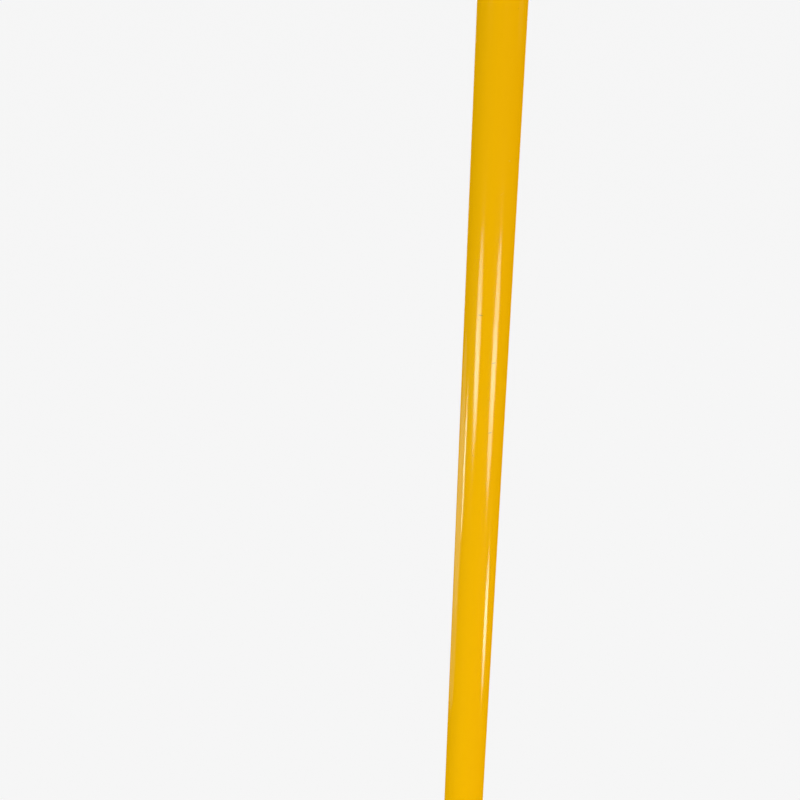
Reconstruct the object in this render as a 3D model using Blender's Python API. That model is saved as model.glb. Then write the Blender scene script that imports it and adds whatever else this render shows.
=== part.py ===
"""A sprung corner pole for a football pitch.

A yellow PVC tube stands on a coil spring, and the spring stands on a steel
spike with a tread plate. A player who runs into the pole bends it over on the
spring in any direction, and it rights itself. Metres, +Z up. The origin is on
the pole's axis at ground level, which is the underside of the tread plate.
"""

from math import atan, cos, pi, radians, sin, sqrt, tau

import bmesh
import bpy
from mathutils import Matrix, Vector

MM = 0.001

# Whole pole
POLE_HEIGHT = 1500 * MM       # ground to the crown of the cap
POLE_DIAMETER = 50 * MM
POLE_WALL = 1.6 * MM
TUBE_EDGE_BREAK = 0.3 * MM    # the sawn ends are deburred
FIT_GAP = 0.3 * MM            # between any two pieces that touch

# Ground spike and tread plate
SPIKE_DIAMETER = 16 * MM
SPIKE_LENGTH = 230 * MM       # below ground level
SPIKE_POINT_LENGTH = 48 * MM
SPIKE_TIP_RADIUS = 1.5 * MM
TREAD_DIAMETER = 90 * MM
TREAD_THICKNESS = 5 * MM
TREAD_EDGE_RADIUS = 2 * MM
SHOULDER_RECESS = 2 * MM      # the spike's shoulder sits this deep in the plate
THREAD_DIAMETER = 12 * MM     # spike stud and plug bolt
THREAD_ENGAGEMENT = 22 * MM   # in each spring hub
THREAD_CHAMFER = 1 * MM
LOCK_WASHER_WIDTH = 4.5 * MM  # from its hole to its rim
LOCK_WASHER_THICKNESS = 2.5 * MM
LOCK_WASHER_SLIT = 1.6 * MM
LOCK_WASHER_SLIT_LEAN = radians(20)

# Coil spring
WIRE_DIAMETER = 6 * MM
COIL_MEAN_DIAMETER = 30 * MM
COIL_GAP = 2.3 * MM           # between one curl and the next
COIL_FREE_LENGTH = 130 * MM   # the stretch that bends, between the two hubs
COIL_SEAT_TURNS = 1.75        # turns that grip each hub's barrel
TANG_DEPTH = 8 * MM           # how far each end reaches into its hub's flange
TANG_STAND = 1 * MM           # straight wire left between the flange and the bend
TANG_BEND_RADIUS = 7 * MM
POINTS_PER_TURN = 10

# Spring hubs
HUB_FLANGE_THICKNESS = 12 * MM
HUB_RIM = 5.6 * MM            # metal outside the tang's socket, for the grub screw
HUB_FLAT_DEPTH = 2.5 * MM     # spanner flats, on two sides of the flange
HUB_EDGE_BREAK = 1 * MM
HUB_FILLET = 1 * MM           # between the flange and the barrel
HUB_NOSE = 3 * MM             # the barrel's end tapers in over this length
HUB_NOSE_SHRINK = 1.6 * MM
GRUB_DIAMETER = 5 * MM
GRUB_SUNK = 0.5 * MM          # below the flange's rim
GRUB_KEY_WIDTH = 2.5 * MM     # hexagon key, across flats
GRUB_KEY_DEPTH = 2 * MM

# Plug in the foot of the tube
PLUG_FLANGE_THICKNESS = 6 * MM
PLUG_FLANGE_EDGE = 0.8 * MM
PLUG_SKIRT_LENGTH = 60 * MM   # inside the tube
PLUG_SKIRT_WALL = 3.2 * MM
PLUG_SKIRT_LEAD = 1.5 * MM
PLUG_FLOOR = 12 * MM
PLUG_WELL_WALL = 2.4 * MM
PLUG_WELL_HEIGHT = 46 * MM    # above the floor
PLUG_WELL_ROOM = 1.4 * MM     # round the washer
PLUG_WEB_SUNK = 2 * MM        # the webs stop this far below the well's mouth
PLUG_RIB_WIDTH = 2.4 * MM
PLUG_BOSS_WIDTH = 9 * MM
PLUG_SCREWS = 3
PLUG_SCREW_HEIGHT = 30 * MM   # above the tube's lower end
BOLT_HEAD_WIDTH = 18 * MM     # across flats
BOLT_HEAD_HEIGHT = 7.5 * MM
BOLT_HEAD_CHAMFER = 1 * MM
WASHER_WIDTH = 5.7 * MM       # from its hole to its rim
WASHER_THICKNESS = 2.5 * MM

# Self-tapping screws through the tube into the plug
SCREW_DIAMETER = 4.2 * MM
SCREW_LENGTH = 11 * MM        # under the head
SCREW_POINT = 3 * MM
SCREW_HEAD_DIAMETER = 8 * MM
SCREW_HEAD_HEIGHT = 2.6 * MM

# Cap in the top of the tube
CAP_RIM = 3 * MM
CAP_DOME = 9 * MM             # low and round, so that nobody is hurt on it
CAP_SKIN = 2.4 * MM
CAP_SKIRT_LENGTH = 30 * MM
CAP_SKIRT_WALL = 2 * MM
CAP_BARB = 0.5 * MM           # the gripping rings stand this far out
CAP_BARBS = 3
CAP_BARB_SPACING = 7 * MM
CAP_SLOTS = 4
CAP_SLOT_WIDTH = 3 * MM
CAP_SLOT_LENGTH = 21 * MM

# Facets round a full circle
TUBE_FACETS = 64
TURNED_FACETS = 48
SPIKE_FACETS = 32
SMALL_FACETS = 24

CUT_OVERRUN = 1 * MM          # cutters run this far past the face they cut

# What follows from the sizes above
POLE_RADIUS = POLE_DIAMETER / 2
TUBE_BORE_RADIUS = POLE_RADIUS - POLE_WALL
THREAD_RADIUS = THREAD_DIAMETER / 2
THREAD_HOLE_RADIUS = THREAD_RADIUS + FIT_GAP
WIRE_RADIUS = WIRE_DIAMETER / 2
COIL_RADIUS = COIL_MEAN_DIAMETER / 2
COIL_PITCH = WIRE_DIAMETER + COIL_GAP
COIL_SLOPE = atan(COIL_PITCH / (tau * COIL_RADIUS))
COIL_SEAT_HEIGHT = COIL_SEAT_TURNS * COIL_PITCH
COIL_HEIGHT = COIL_FREE_LENGTH + 2 * COIL_SEAT_HEIGHT
COIL_RISE = TANG_STAND + TANG_BEND_RADIUS * cos(COIL_SLOPE)
TANG_SOCKET_RADIUS = WIRE_RADIUS + FIT_GAP
HUB_FLANGE_RADIUS = COIL_RADIUS + TANG_SOCKET_RADIUS + HUB_RIM
HUB_BARREL_LENGTH = COIL_RISE + COIL_SEAT_HEIGHT
# The curls are drawn with straight chords, which come nearest the barrel at mid-chord.
HUB_BARREL_RADIUS = COIL_RADIUS * cos(pi / POINTS_PER_TURN) - WIRE_RADIUS - FIT_GAP

LOCK_WASHER_BASE = TREAD_THICKNESS + FIT_GAP
LOWER_HUB_BASE = LOCK_WASHER_BASE + LOCK_WASHER_THICKNESS + FIT_GAP
LOWER_FLANGE_FACE = LOWER_HUB_BASE + HUB_FLANGE_THICKNESS
COIL_START = LOWER_FLANGE_FACE + COIL_RISE
FREE_START = COIL_START + COIL_SEAT_HEIGHT
FREE_END = FREE_START + COIL_FREE_LENGTH
LOWER_TILT_HEIGHT = FREE_START + COIL_FREE_LENGTH / 4
UPPER_TILT_HEIGHT = FREE_END - COIL_FREE_LENGTH / 4
UPPER_FLANGE_FACE = COIL_START + COIL_HEIGHT + COIL_RISE
PLUG_BASE = UPPER_FLANGE_FACE + HUB_FLANGE_THICKNESS + FIT_GAP
TUBE_BASE = PLUG_BASE + PLUG_FLANGE_THICKNESS + FIT_GAP
TUBE_TOP = POLE_HEIGHT - CAP_DOME - CAP_RIM
WASHER_BASE = PLUG_BASE + PLUG_FLOOR + FIT_GAP
BOLT_HEAD_BASE = WASHER_BASE + WASHER_THICKNESS + FIT_GAP


def material(name, colour, roughness, metallic=0.0):
    """A plain Principled finish. The colour is linear red, green and blue."""
    look = bpy.data.materials.new(name)
    look.use_nodes = True
    shader = look.node_tree.nodes["Principled BSDF"]
    shader.inputs["Base Color"].default_value = (*colour, 1.0)
    shader.inputs["Roughness"].default_value = roughness
    shader.inputs["Metallic"].default_value = metallic
    return look


def add_object(name, data, look=None):
    piece = bpy.data.objects.new(name, data)
    bpy.context.scene.collection.objects.link(piece)
    if look:
        data.materials.append(look)
    return piece


def finished(name, form, look=None):
    """Turn a bmesh into an object, shaded smooth with its edges kept crisp."""
    form.normal_update()
    bmesh.ops.recalc_face_normals(form, faces=form.faces[:])
    mesh = bpy.data.meshes.new(name)
    form.to_mesh(mesh)
    form.free()
    mesh.shade_smooth()
    mesh.set_sharp_from_angle(angle=radians(32))
    return add_object(name, mesh, look)


def turned(name, outline, facets, look=None):
    """Spin a closed outline of (radius, height) points about the piece's own Z axis."""
    form = bmesh.new()
    corners = [form.verts.new((radius, 0, height)) for radius, height in outline]
    for here, there in zip(corners, corners[1:] + corners[:1]):
        if here.co.x > 0 or there.co.x > 0:
            form.edges.new((here, there))
    bmesh.ops.spin(
        form, geom=form.verts[:] + form.edges[:], cent=(0, 0, 0), axis=(0, 0, 1),
        angle=tau, steps=facets, use_merge=True, use_duplicate=False,
    )
    bmesh.ops.remove_doubles(form, verts=form.verts[:], dist=0.001 * MM)
    return finished(name, form, look)


def arc(centre, radius_across, radius_up, start, end, steps):
    """Points on an elliptical arc in the (radius, height) plane, both ends included."""
    angles = [start + (end - start) * n / steps for n in range(steps + 1)]
    across, up = centre
    return [(across + radius_across * cos(a), up + radius_up * sin(a)) for a in angles]


def prism(name, sides, radius, low, high):
    """A straight prism or rod along Z, from one height to the other."""
    form = bmesh.new()
    bmesh.ops.create_cone(
        form, cap_ends=True, segments=sides, radius1=radius, radius2=radius, depth=high - low,
    )
    bmesh.ops.translate(form, verts=form.verts[:], vec=(0, 0, (low + high) / 2))
    return finished(name, form)


def block(name, middle, size, turn):
    """A box of this size round its middle, the whole then turned about Z."""
    form = bmesh.new()
    bmesh.ops.create_cube(form, size=1.0)
    bmesh.ops.scale(form, verts=form.verts[:], vec=size)
    bmesh.ops.translate(form, verts=form.verts[:], vec=middle)
    bmesh.ops.rotate(form, verts=form.verts[:], matrix=Matrix.Rotation(turn, 3, "Z"))
    return finished(name, form)


def work(piece, tool, operation):
    """Cut the tool from the piece, or join it on. The tool is placed in the piece's own frame."""
    tool.parent = piece
    tool.hide_render = True
    tool.display_type = "WIRE"
    boolean = piece.modifiers.new(tool.name, "BOOLEAN")
    boolean.operation = operation
    boolean.solver = "EXACT"
    boolean.object = tool


def point_outwards(piece, turn, distance, height):
    """Lay a piece made along Z on a spoke at this turn, its own Z pointing away from the axis."""
    piece.rotation_euler = (0, pi / 2, turn)
    piece.location = (distance * cos(turn), distance * sin(turn), height)


def make_ground_spike(steel):
    """One turned bar: a point, a round shank, a shoulder and the threaded stud above it."""
    shank = SPIKE_DIAMETER / 2
    shoulder = SHOULDER_RECESS - FIT_GAP
    stud_top = LOWER_HUB_BASE + THREAD_ENGAGEMENT
    taper_top = SPIKE_POINT_LENGTH - SPIKE_LENGTH
    tip = arc((0, SPIKE_TIP_RADIUS - SPIKE_LENGTH), SPIKE_TIP_RADIUS, SPIKE_TIP_RADIUS,
              -pi / 2, -pi / 10, 3)
    outline = tip + [
        (shank, taper_top),
        (shank, shoulder),
        (THREAD_RADIUS, shoulder),
        (THREAD_RADIUS, stud_top - THREAD_CHAMFER),
        (THREAD_RADIUS - THREAD_CHAMFER, stud_top),
        (0, stud_top),
    ]
    return turned("ground_spike", outline, SPIKE_FACETS, steel)


def make_tread_plate(steel):
    """A round steel plate to step on, with a recess below for the spike's shoulder."""
    rim = TREAD_DIAMETER / 2
    recess = SPIKE_DIAMETER / 2 + FIT_GAP
    edge = arc((rim - TREAD_EDGE_RADIUS, TREAD_THICKNESS - TREAD_EDGE_RADIUS),
               TREAD_EDGE_RADIUS, TREAD_EDGE_RADIUS, 0, pi / 2, 4)
    outline = [(recess, 0), (rim, 0)] + edge + [
        (THREAD_HOLE_RADIUS, TREAD_THICKNESS),
        (THREAD_HOLE_RADIUS, SHOULDER_RECESS),
        (recess, SHOULDER_RECESS),
    ]
    return turned("tread_plate", outline, TUBE_FACETS, steel)


def make_lock_washer(steel):
    """A split spring washer between the tread plate and the lower hub."""
    rim = THREAD_HOLE_RADIUS + LOCK_WASHER_WIDTH
    outline = [
        (THREAD_HOLE_RADIUS, 0),
        (rim, 0),
        (rim, LOCK_WASHER_THICKNESS),
        (THREAD_HOLE_RADIUS, LOCK_WASHER_THICKNESS),
    ]
    washer = turned("lower_lock_washer", outline, SPIKE_FACETS, steel)
    washer.location.z = LOCK_WASHER_BASE
    size = (LOCK_WASHER_WIDTH + 2 * CUT_OVERRUN, LOCK_WASHER_SLIT, 3 * LOCK_WASHER_THICKNESS)
    slit = block("lock_washer_slit", (0, 0, 0), size, 0)
    slit.location = (THREAD_HOLE_RADIUS + LOCK_WASHER_WIDTH / 2, 0, LOCK_WASHER_THICKNESS / 2)
    slit.rotation_euler.x = LOCK_WASHER_SLIT_LEAN
    work(washer, slit, "DIFFERENCE")
    return washer


def make_spring_hub(name, steel):
    """A turned steel hub. Its flange's spring side is at its own z = 0, and its barrel points up.

    The spring's end goes down into a socket in the flange, on the hub's own +X side,
    where a grub screw locks it.
    """
    flange = HUB_FLANGE_RADIUS
    foot = -HUB_FLANGE_THICKNESS
    barrel = HUB_BARREL_RADIUS
    fillet = arc((barrel + HUB_FILLET, HUB_FILLET), HUB_FILLET, HUB_FILLET, -pi / 2, -pi, 3)
    outline = [
        (0, foot),
        (flange - HUB_EDGE_BREAK, foot),
        (flange, foot + HUB_EDGE_BREAK),
        (flange, -HUB_EDGE_BREAK),
        (flange - HUB_EDGE_BREAK, 0),
    ]
    outline += fillet + [
        (barrel, HUB_BARREL_LENGTH - HUB_NOSE),
        (barrel - HUB_NOSE_SHRINK, HUB_BARREL_LENGTH),
        (0, HUB_BARREL_LENGTH),
    ]
    hub = turned(name, outline, TURNED_FACETS, steel)
    thread_end = foot + THREAD_ENGAGEMENT + THREAD_CHAMFER
    thread = prism(name + "_thread", SMALL_FACETS, THREAD_HOLE_RADIUS, foot - CUT_OVERRUN,
                   thread_end)
    work(hub, thread, "DIFFERENCE")
    socket = prism(name + "_socket", SMALL_FACETS, TANG_SOCKET_RADIUS, -TANG_DEPTH - FIT_GAP,
                   CUT_OVERRUN)
    socket.location.x = COIL_RADIUS
    work(hub, socket, "DIFFERENCE")
    grub_hole = prism(name + "_grub_hole", SMALL_FACETS, GRUB_DIAMETER / 2 + FIT_GAP, 0,
                      flange - COIL_RADIUS + CUT_OVERRUN)
    point_outwards(grub_hole, 0, COIL_RADIUS, -TANG_DEPTH / 2)
    work(hub, grub_hole, "DIFFERENCE")
    flat = flange - HUB_FLAT_DEPTH
    reach = flange
    size = (2 * reach, reach, HUB_FLANGE_THICKNESS + 2 * CUT_OVERRUN)
    for number, side in enumerate((-1, 1), 1):
        middle = (0, side * (flat + reach / 2), foot / 2)
        work(hub, block(f"{name}_flat_{number}", middle, size, 0), "DIFFERENCE")
    return hub


def make_grub_screw(name, steel):
    """A short headless screw with a hexagon socket, made along Z with its point at z = 0."""
    radius = GRUB_DIAMETER / 2
    length = HUB_RIM - GRUB_SUNK
    point = radius / 3
    outline = [
        (0, 0),
        (radius - point, 0),
        (radius, point),
        (radius, length - point / 2),
        (radius - point / 2, length),
        (0, length),
    ]
    screw = turned(name, outline, SMALL_FACETS, steel)
    key = prism(name + "_key", 6, GRUB_KEY_WIDTH / sqrt(3), length - GRUB_KEY_DEPTH,
                length + CUT_OVERRUN)
    work(screw, key, "DIFFERENCE")
    return screw


def on_coil(along, height):
    """The place on the coil's cylinder that is this far along it, and this high."""
    angle = along / COIL_RADIUS
    return Vector((COIL_RADIUS * cos(angle), COIL_RADIUS * sin(angle), height))


def spring_centreline():
    """The wire's middle as (distance along the cylinder, height), from the lower tang up."""
    bend = TANG_BEND_RADIUS
    sweep = pi / 2 - COIL_SLOPE
    bend_base = LOWER_FLANGE_FACE + TANG_STAND
    bend_steps = 5
    tang = [(0, LOWER_FLANGE_FACE - TANG_DEPTH)]
    for n in range(bend_steps + 1):
        angle = sweep * n / bend_steps
        tang.append((bend - bend * cos(angle), bend_base + bend * sin(angle)))
    coil_from = bend - bend * cos(sweep)
    coil_length = COIL_HEIGHT / COIL_PITCH * tau * COIL_RADIUS
    whole = 2 * coil_from + coil_length
    both_ends = LOWER_FLANGE_FACE + UPPER_FLANGE_FACE
    steps = round(COIL_HEIGHT / COIL_PITCH * POINTS_PER_TURN)
    curls = [
        (coil_from + coil_length * n / steps, COIL_START + COIL_HEIGHT * n / steps)
        for n in range(1, steps)
    ]
    # The upper tang is the lower one turned end for end.
    upper = [(whole - along, both_ends - height) for along, height in reversed(tang)]
    return tang + curls + upper


def least_gap(points):
    """The least clear distance from the wire to itself, apart from its own next stretch."""
    fine = []
    for here, there in zip(points, points[1:]):
        fine += [here.lerp(there, n / 4) for n in range(4)]
    fine.append(points[-1])
    run = [0.0]
    for here, there in zip(fine, fine[1:]):
        run.append(run[-1] + (there - here).length)
    near_by = 3 * WIRE_DIAMETER
    window = int(2.5 * POINTS_PER_TURN) * 4
    least = COIL_HEIGHT
    for n, here in enumerate(fine):
        for m in range(n + 1, min(len(fine), n + window)):
            if run[m] - run[n] > near_by:
                least = min(least, (fine[m] - here).length)
    return least - WIRE_DIAMETER


def make_coil_spring(steel):
    """One wire: a straight tang, a tight bend, the curls, and the same again at the top."""
    points = [on_coil(along, height) for along, height in spring_centreline()]
    wire = bpy.data.curves.new("coil_spring", "CURVE")
    wire.dimensions = "3D"
    wire.bevel_depth = WIRE_RADIUS
    wire.bevel_resolution = 1
    wire.use_fill_caps = True
    run = wire.splines.new("POLY")
    run.points.add(len(points) - 1)
    for point, place in zip(run.points, points):
        point.co = (*(place - Vector((0, 0, LOWER_TILT_HEIGHT))), 1)
    run.use_smooth = True
    print(f"coil_spring: least gap to itself {least_gap(points) / MM:.2f} mm")
    spring = add_object("coil_spring", wire, steel)
    spring.location.z = LOWER_TILT_HEIGHT
    return spring


def make_base_plug(nylon):
    """The moulded plug in the tube's foot: a flange, a floor, a skirt, a bolt well and ribs."""
    skirt = TUBE_BORE_RADIUS - FIT_GAP
    skirt_top = PLUG_FLANGE_THICKNESS + PLUG_SKIRT_LENGTH
    skirt_inside = skirt - PLUG_SKIRT_WALL
    well = THREAD_HOLE_RADIUS + WASHER_WIDTH + PLUG_WELL_ROOM
    well_outside = well + PLUG_WELL_WALL
    well_top = PLUG_FLOOR + PLUG_WELL_HEIGHT
    outline = [
        (THREAD_HOLE_RADIUS, 0),
        (POLE_RADIUS - PLUG_FLANGE_EDGE, 0),
        (POLE_RADIUS, PLUG_FLANGE_EDGE),
        (POLE_RADIUS, PLUG_FLANGE_THICKNESS),
        (skirt, PLUG_FLANGE_THICKNESS),
        (skirt, skirt_top - PLUG_SKIRT_LEAD),
        (skirt - PLUG_SKIRT_LEAD / 2, skirt_top),
        (skirt_inside, skirt_top),
        (skirt_inside, PLUG_FLOOR),
        (well_outside, PLUG_FLOOR),
        (well_outside, well_top),
        (well, well_top),
        (well, PLUG_FLOOR),
        (THREAD_HOLE_RADIUS, PLUG_FLOOR),
    ]
    plug = turned("base_plug", outline, TURNED_FACETS, nylon)
    plug.location.z = PLUG_BASE
    # The webs run from the well to the skirt, and reach a little way into each.
    inner = well + PLUG_WELL_WALL / 2
    outer = skirt_inside + PLUG_SKIRT_WALL / 2
    web_low = PLUG_FLOOR - CUT_OVERRUN
    web_high = well_top - PLUG_WEB_SUNK
    middle = ((inner + outer) / 2, 0, (web_low + web_high) / 2)
    for n in range(2 * PLUG_SCREWS):
        width = PLUG_BOSS_WIDTH if n % 2 == 0 else PLUG_RIB_WIDTH
        size = (outer - inner, width, web_high - web_low)
        web = block(f"base_plug_web_{n + 1}", middle, size, n * pi / PLUG_SCREWS)
        work(plug, web, "UNION")
    height = PLUG_FLANGE_THICKNESS + FIT_GAP + PLUG_SCREW_HEIGHT
    for n in range(PLUG_SCREWS):
        pilot = prism(f"base_plug_pilot_{n + 1}", SMALL_FACETS, SCREW_DIAMETER / 2 + FIT_GAP,
                      0, SCREW_LENGTH + 2 * FIT_GAP)
        point_outwards(pilot, n * tau / PLUG_SCREWS, POLE_RADIUS - SCREW_LENGTH, height)
        work(plug, pilot, "DIFFERENCE")
    return plug


def make_plug_bolt(steel):
    """The hexagon bolt that holds the upper hub to the plug. Its head rests at z = 0."""
    shank = PLUG_FLOOR + 3 * FIT_GAP + WASHER_THICKNESS + THREAD_ENGAGEMENT
    outline = [
        (0, -shank),
        (THREAD_RADIUS - THREAD_CHAMFER, -shank),
        (THREAD_RADIUS, THREAD_CHAMFER - shank),
        (THREAD_RADIUS, BOLT_HEAD_HEIGHT / 2),
        (0, BOLT_HEAD_HEIGHT / 2),
    ]
    bolt = turned("plug_bolt", outline, SMALL_FACETS, steel)
    bolt.location.z = BOLT_HEAD_BASE
    head = prism("plug_bolt_head", 6, BOLT_HEAD_WIDTH / sqrt(3), 0, BOLT_HEAD_HEIGHT)
    form = bmesh.new()
    form.from_mesh(head.data)
    top = [e for e in form.edges if all(v.co.z > BOLT_HEAD_HEIGHT / 2 for v in e.verts)]
    bmesh.ops.bevel(form, geom=top, offset=BOLT_HEAD_CHAMFER, segments=1, affect="EDGES")
    form.to_mesh(head.data)
    form.free()
    work(bolt, head, "UNION")
    return bolt


def make_bolt_washer(steel):
    """The flat washer under the plug bolt's head."""
    rim = THREAD_HOLE_RADIUS + WASHER_WIDTH
    outline = [
        (THREAD_HOLE_RADIUS, 0),
        (rim, 0),
        (rim, WASHER_THICKNESS),
        (THREAD_HOLE_RADIUS, WASHER_THICKNESS),
    ]
    washer = turned("plug_bolt_washer", outline, TURNED_FACETS, steel)
    washer.location.z = WASHER_BASE
    return washer


def make_pole_tube(pvc):
    """The yellow tube, open at both ends, drilled for the plug's screws."""
    length = TUBE_TOP - TUBE_BASE
    bore = TUBE_BORE_RADIUS
    soft = TUBE_EDGE_BREAK
    outline = [
        (bore + soft, 0),
        (POLE_RADIUS - soft, 0),
        (POLE_RADIUS, soft),
        (POLE_RADIUS, length - soft),
        (POLE_RADIUS - soft, length),
        (bore + soft, length),
        (bore, length - soft),
        (bore, soft),
    ]
    tube = turned("pole_tube", outline, TUBE_FACETS, pvc)
    tube.location.z = TUBE_BASE
    for n in range(PLUG_SCREWS):
        hole = prism(f"pole_tube_hole_{n + 1}", SMALL_FACETS, SCREW_DIAMETER / 2 + FIT_GAP,
                     0, POLE_WALL + 2 * CUT_OVERRUN)
        point_outwards(hole, n * tau / PLUG_SCREWS, bore - CUT_OVERRUN, PLUG_SCREW_HEIGHT)
        work(tube, hole, "DIFFERENCE")
    return tube


def make_plug_screw(number, steel):
    """A pan-head screw made along Z, its head's underside at z = 0."""
    radius = SCREW_DIAMETER / 2
    head = SCREW_HEAD_DIAMETER / 2
    flat = SCREW_HEAD_HEIGHT / 3
    crown = arc((0, flat), head, SCREW_HEAD_HEIGHT - flat, 0, pi / 2, 5)
    outline = [
        (0, -SCREW_LENGTH),
        (radius, SCREW_POINT - SCREW_LENGTH),
        (radius, 0),
        (head, 0),
    ] + crown
    screw = turned(f"plug_screw_{number}", outline, SMALL_FACETS, steel)
    turn = (number - 1) * tau / PLUG_SCREWS
    point_outwards(screw, turn, POLE_RADIUS + FIT_GAP, TUBE_BASE + PLUG_SCREW_HEIGHT)
    return screw


def make_top_cap(plastic):
    """The low domed cap, with a slotted and barbed skirt that springs into the tube."""
    outside = TUBE_BORE_RADIUS - FIT_GAP
    skirt = outside - CAP_BARB
    inside = skirt - CAP_SKIRT_WALL
    foot = -CAP_SKIRT_LENGTH
    ceiling = CAP_RIM + CAP_DOME - CAP_SKIN
    outline = [(0, ceiling)]
    outline += arc((0, 0), inside, ceiling, radians(60), 0, 3)
    outline += [(inside, foot), (skirt - CAP_BARB, foot), (skirt, foot + 2 * CAP_BARB)]
    for n in range(CAP_BARBS):
        base = foot + (n + 0.5) * CAP_BARB_SPACING
        outline += [(skirt, base), (outside, base + 3 * CAP_BARB), (skirt, base + 3.5 * CAP_BARB)]
    outline += [(skirt, FIT_GAP), (POLE_RADIUS - CAP_BARB, FIT_GAP), (POLE_RADIUS, 2 * CAP_BARB)]
    outline += arc((0, CAP_RIM), POLE_RADIUS, CAP_DOME, 0, pi / 2, 9)
    cap = turned("top_cap", outline, TURNED_FACETS, plastic)
    cap.location.z = TUBE_TOP
    reach = 2 * POLE_RADIUS
    size = (reach, CAP_SLOT_WIDTH, 2 * CAP_SLOT_LENGTH)
    for n in range(CAP_SLOTS // 2):
        turn = (n + 0.5) * tau / CAP_SLOTS
        work(cap, block(f"top_cap_slot_{n + 1}", (0, 0, foot), size, turn), "DIFFERENCE")
    return cap


def axis_marker(name, height, parent=None):
    """An empty on a tilt axis. What moves with that axis hangs from it."""
    marker = add_object(name, None)
    marker.empty_display_size = POLE_DIAMETER
    marker.location.z = height - (parent.location.z if parent else 0)
    marker.parent = parent
    return marker


def hang(piece, marker, height):
    """Parent a piece to a marker at this height, without moving the piece."""
    piece.parent = marker
    piece.matrix_parent_inverse.translation.z = -height


def build():
    for old in list(bpy.data.objects):
        bpy.data.objects.remove(old)
    yellow = material("yellow_pvc", (0.87, 0.46, 0.0), 0.22)
    yellow_cap = material("yellow_cap", (0.86, 0.45, 0.0), 0.35)
    black = material("black_nylon", (0.018, 0.018, 0.018), 0.5)
    zinc = material("zinc_plated_steel", (0.62, 0.63, 0.65), 0.34, 1.0)
    plate = material("galvanised_plate", (0.5, 0.51, 0.53), 0.45, 1.0)
    spring_steel = material("spring_steel", (0.32, 0.32, 0.34), 0.3, 1.0)
    black_steel = material("black_oxide_steel", (0.03, 0.03, 0.032), 0.42, 0.8)

    make_ground_spike(zinc)
    make_tread_plate(plate)
    make_lock_washer(zinc)
    lower_hub = make_spring_hub("lower_spring_hub", zinc)
    lower_hub.location.z = LOWER_FLANGE_FACE
    grub_inner = COIL_RADIUS + TANG_SOCKET_RADIUS
    lower_grub = make_grub_screw("lower_grub_screw", black_steel)
    point_outwards(lower_grub, 0, grub_inner, LOWER_FLANGE_FACE - TANG_DEPTH / 2)

    lower_axis = axis_marker("lower_tilt_axis", LOWER_TILT_HEIGHT)
    upper_axis = axis_marker("upper_tilt_axis", UPPER_TILT_HEIGHT, lower_axis)
    hang(make_coil_spring(spring_steel), lower_axis, LOWER_TILT_HEIGHT)

    # The upper hub stands on its head, turned to where the wire's upper end comes out.
    last_turn = spring_centreline()[-1][0] / COIL_RADIUS
    upper_hub = make_spring_hub("upper_spring_hub", zinc)
    upper_hub.location.z = UPPER_FLANGE_FACE
    upper_hub.rotation_euler = (pi, 0, last_turn)
    upper_grub = make_grub_screw("upper_grub_screw", black_steel)
    point_outwards(upper_grub, last_turn, grub_inner, UPPER_FLANGE_FACE + TANG_DEPTH / 2)
    pole_pieces = [
        upper_hub,
        upper_grub,
        make_base_plug(black),
        make_plug_bolt(zinc),
        make_bolt_washer(zinc),
        make_pole_tube(yellow),
        make_top_cap(yellow_cap),
    ]
    pole_pieces += [make_plug_screw(n + 1, zinc) for n in range(PLUG_SCREWS)]
    for piece in pole_pieces:
        hang(piece, upper_axis, UPPER_TILT_HEIGHT)
    print(f"tilt axes at {LOWER_TILT_HEIGHT / MM:.2f} and {UPPER_TILT_HEIGHT / MM:.2f} mm")


build()
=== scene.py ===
# %% [markdown]
# # A sprung corner pole
# A corner pole stands in each corner of a football pitch. This one is a glossy yellow tube on
# a coil spring, with a spike below to hold it in the turf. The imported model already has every
# piece at its real size, so this script only looks after the surfaces: it turns finer pieces
# where the solids are faceted, mixes a finish for each material, and sets up a small studio.

from math import atan, cos, pi, radians, sin, sqrt, tau

import bpy
from mathutils import Matrix, Vector


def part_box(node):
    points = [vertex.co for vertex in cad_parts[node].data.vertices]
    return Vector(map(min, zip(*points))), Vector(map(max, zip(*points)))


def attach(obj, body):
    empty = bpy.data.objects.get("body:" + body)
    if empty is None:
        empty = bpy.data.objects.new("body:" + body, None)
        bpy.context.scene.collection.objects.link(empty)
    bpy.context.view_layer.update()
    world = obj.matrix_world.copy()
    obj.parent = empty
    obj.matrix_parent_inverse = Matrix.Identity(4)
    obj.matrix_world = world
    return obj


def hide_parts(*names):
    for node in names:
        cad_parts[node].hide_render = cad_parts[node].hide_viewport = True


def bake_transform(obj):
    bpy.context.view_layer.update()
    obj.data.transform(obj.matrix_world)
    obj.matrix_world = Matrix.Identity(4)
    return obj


MM = 0.001
SAME_POINT = 0.001 * MM       # points closer than this are one point
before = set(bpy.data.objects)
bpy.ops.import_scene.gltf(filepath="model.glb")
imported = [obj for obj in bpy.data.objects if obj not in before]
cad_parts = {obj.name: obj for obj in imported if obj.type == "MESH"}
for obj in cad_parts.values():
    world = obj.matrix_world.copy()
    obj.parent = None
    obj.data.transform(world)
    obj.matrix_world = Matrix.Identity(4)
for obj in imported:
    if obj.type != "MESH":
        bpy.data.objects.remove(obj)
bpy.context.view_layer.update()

# %% [markdown]
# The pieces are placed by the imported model's own boxes, never by eye. A few sizes are inside a
# box and can't be read from it, such as how thick a hub's flange is. Those are written here in
# millimetres, next to the ones that are read.

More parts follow.
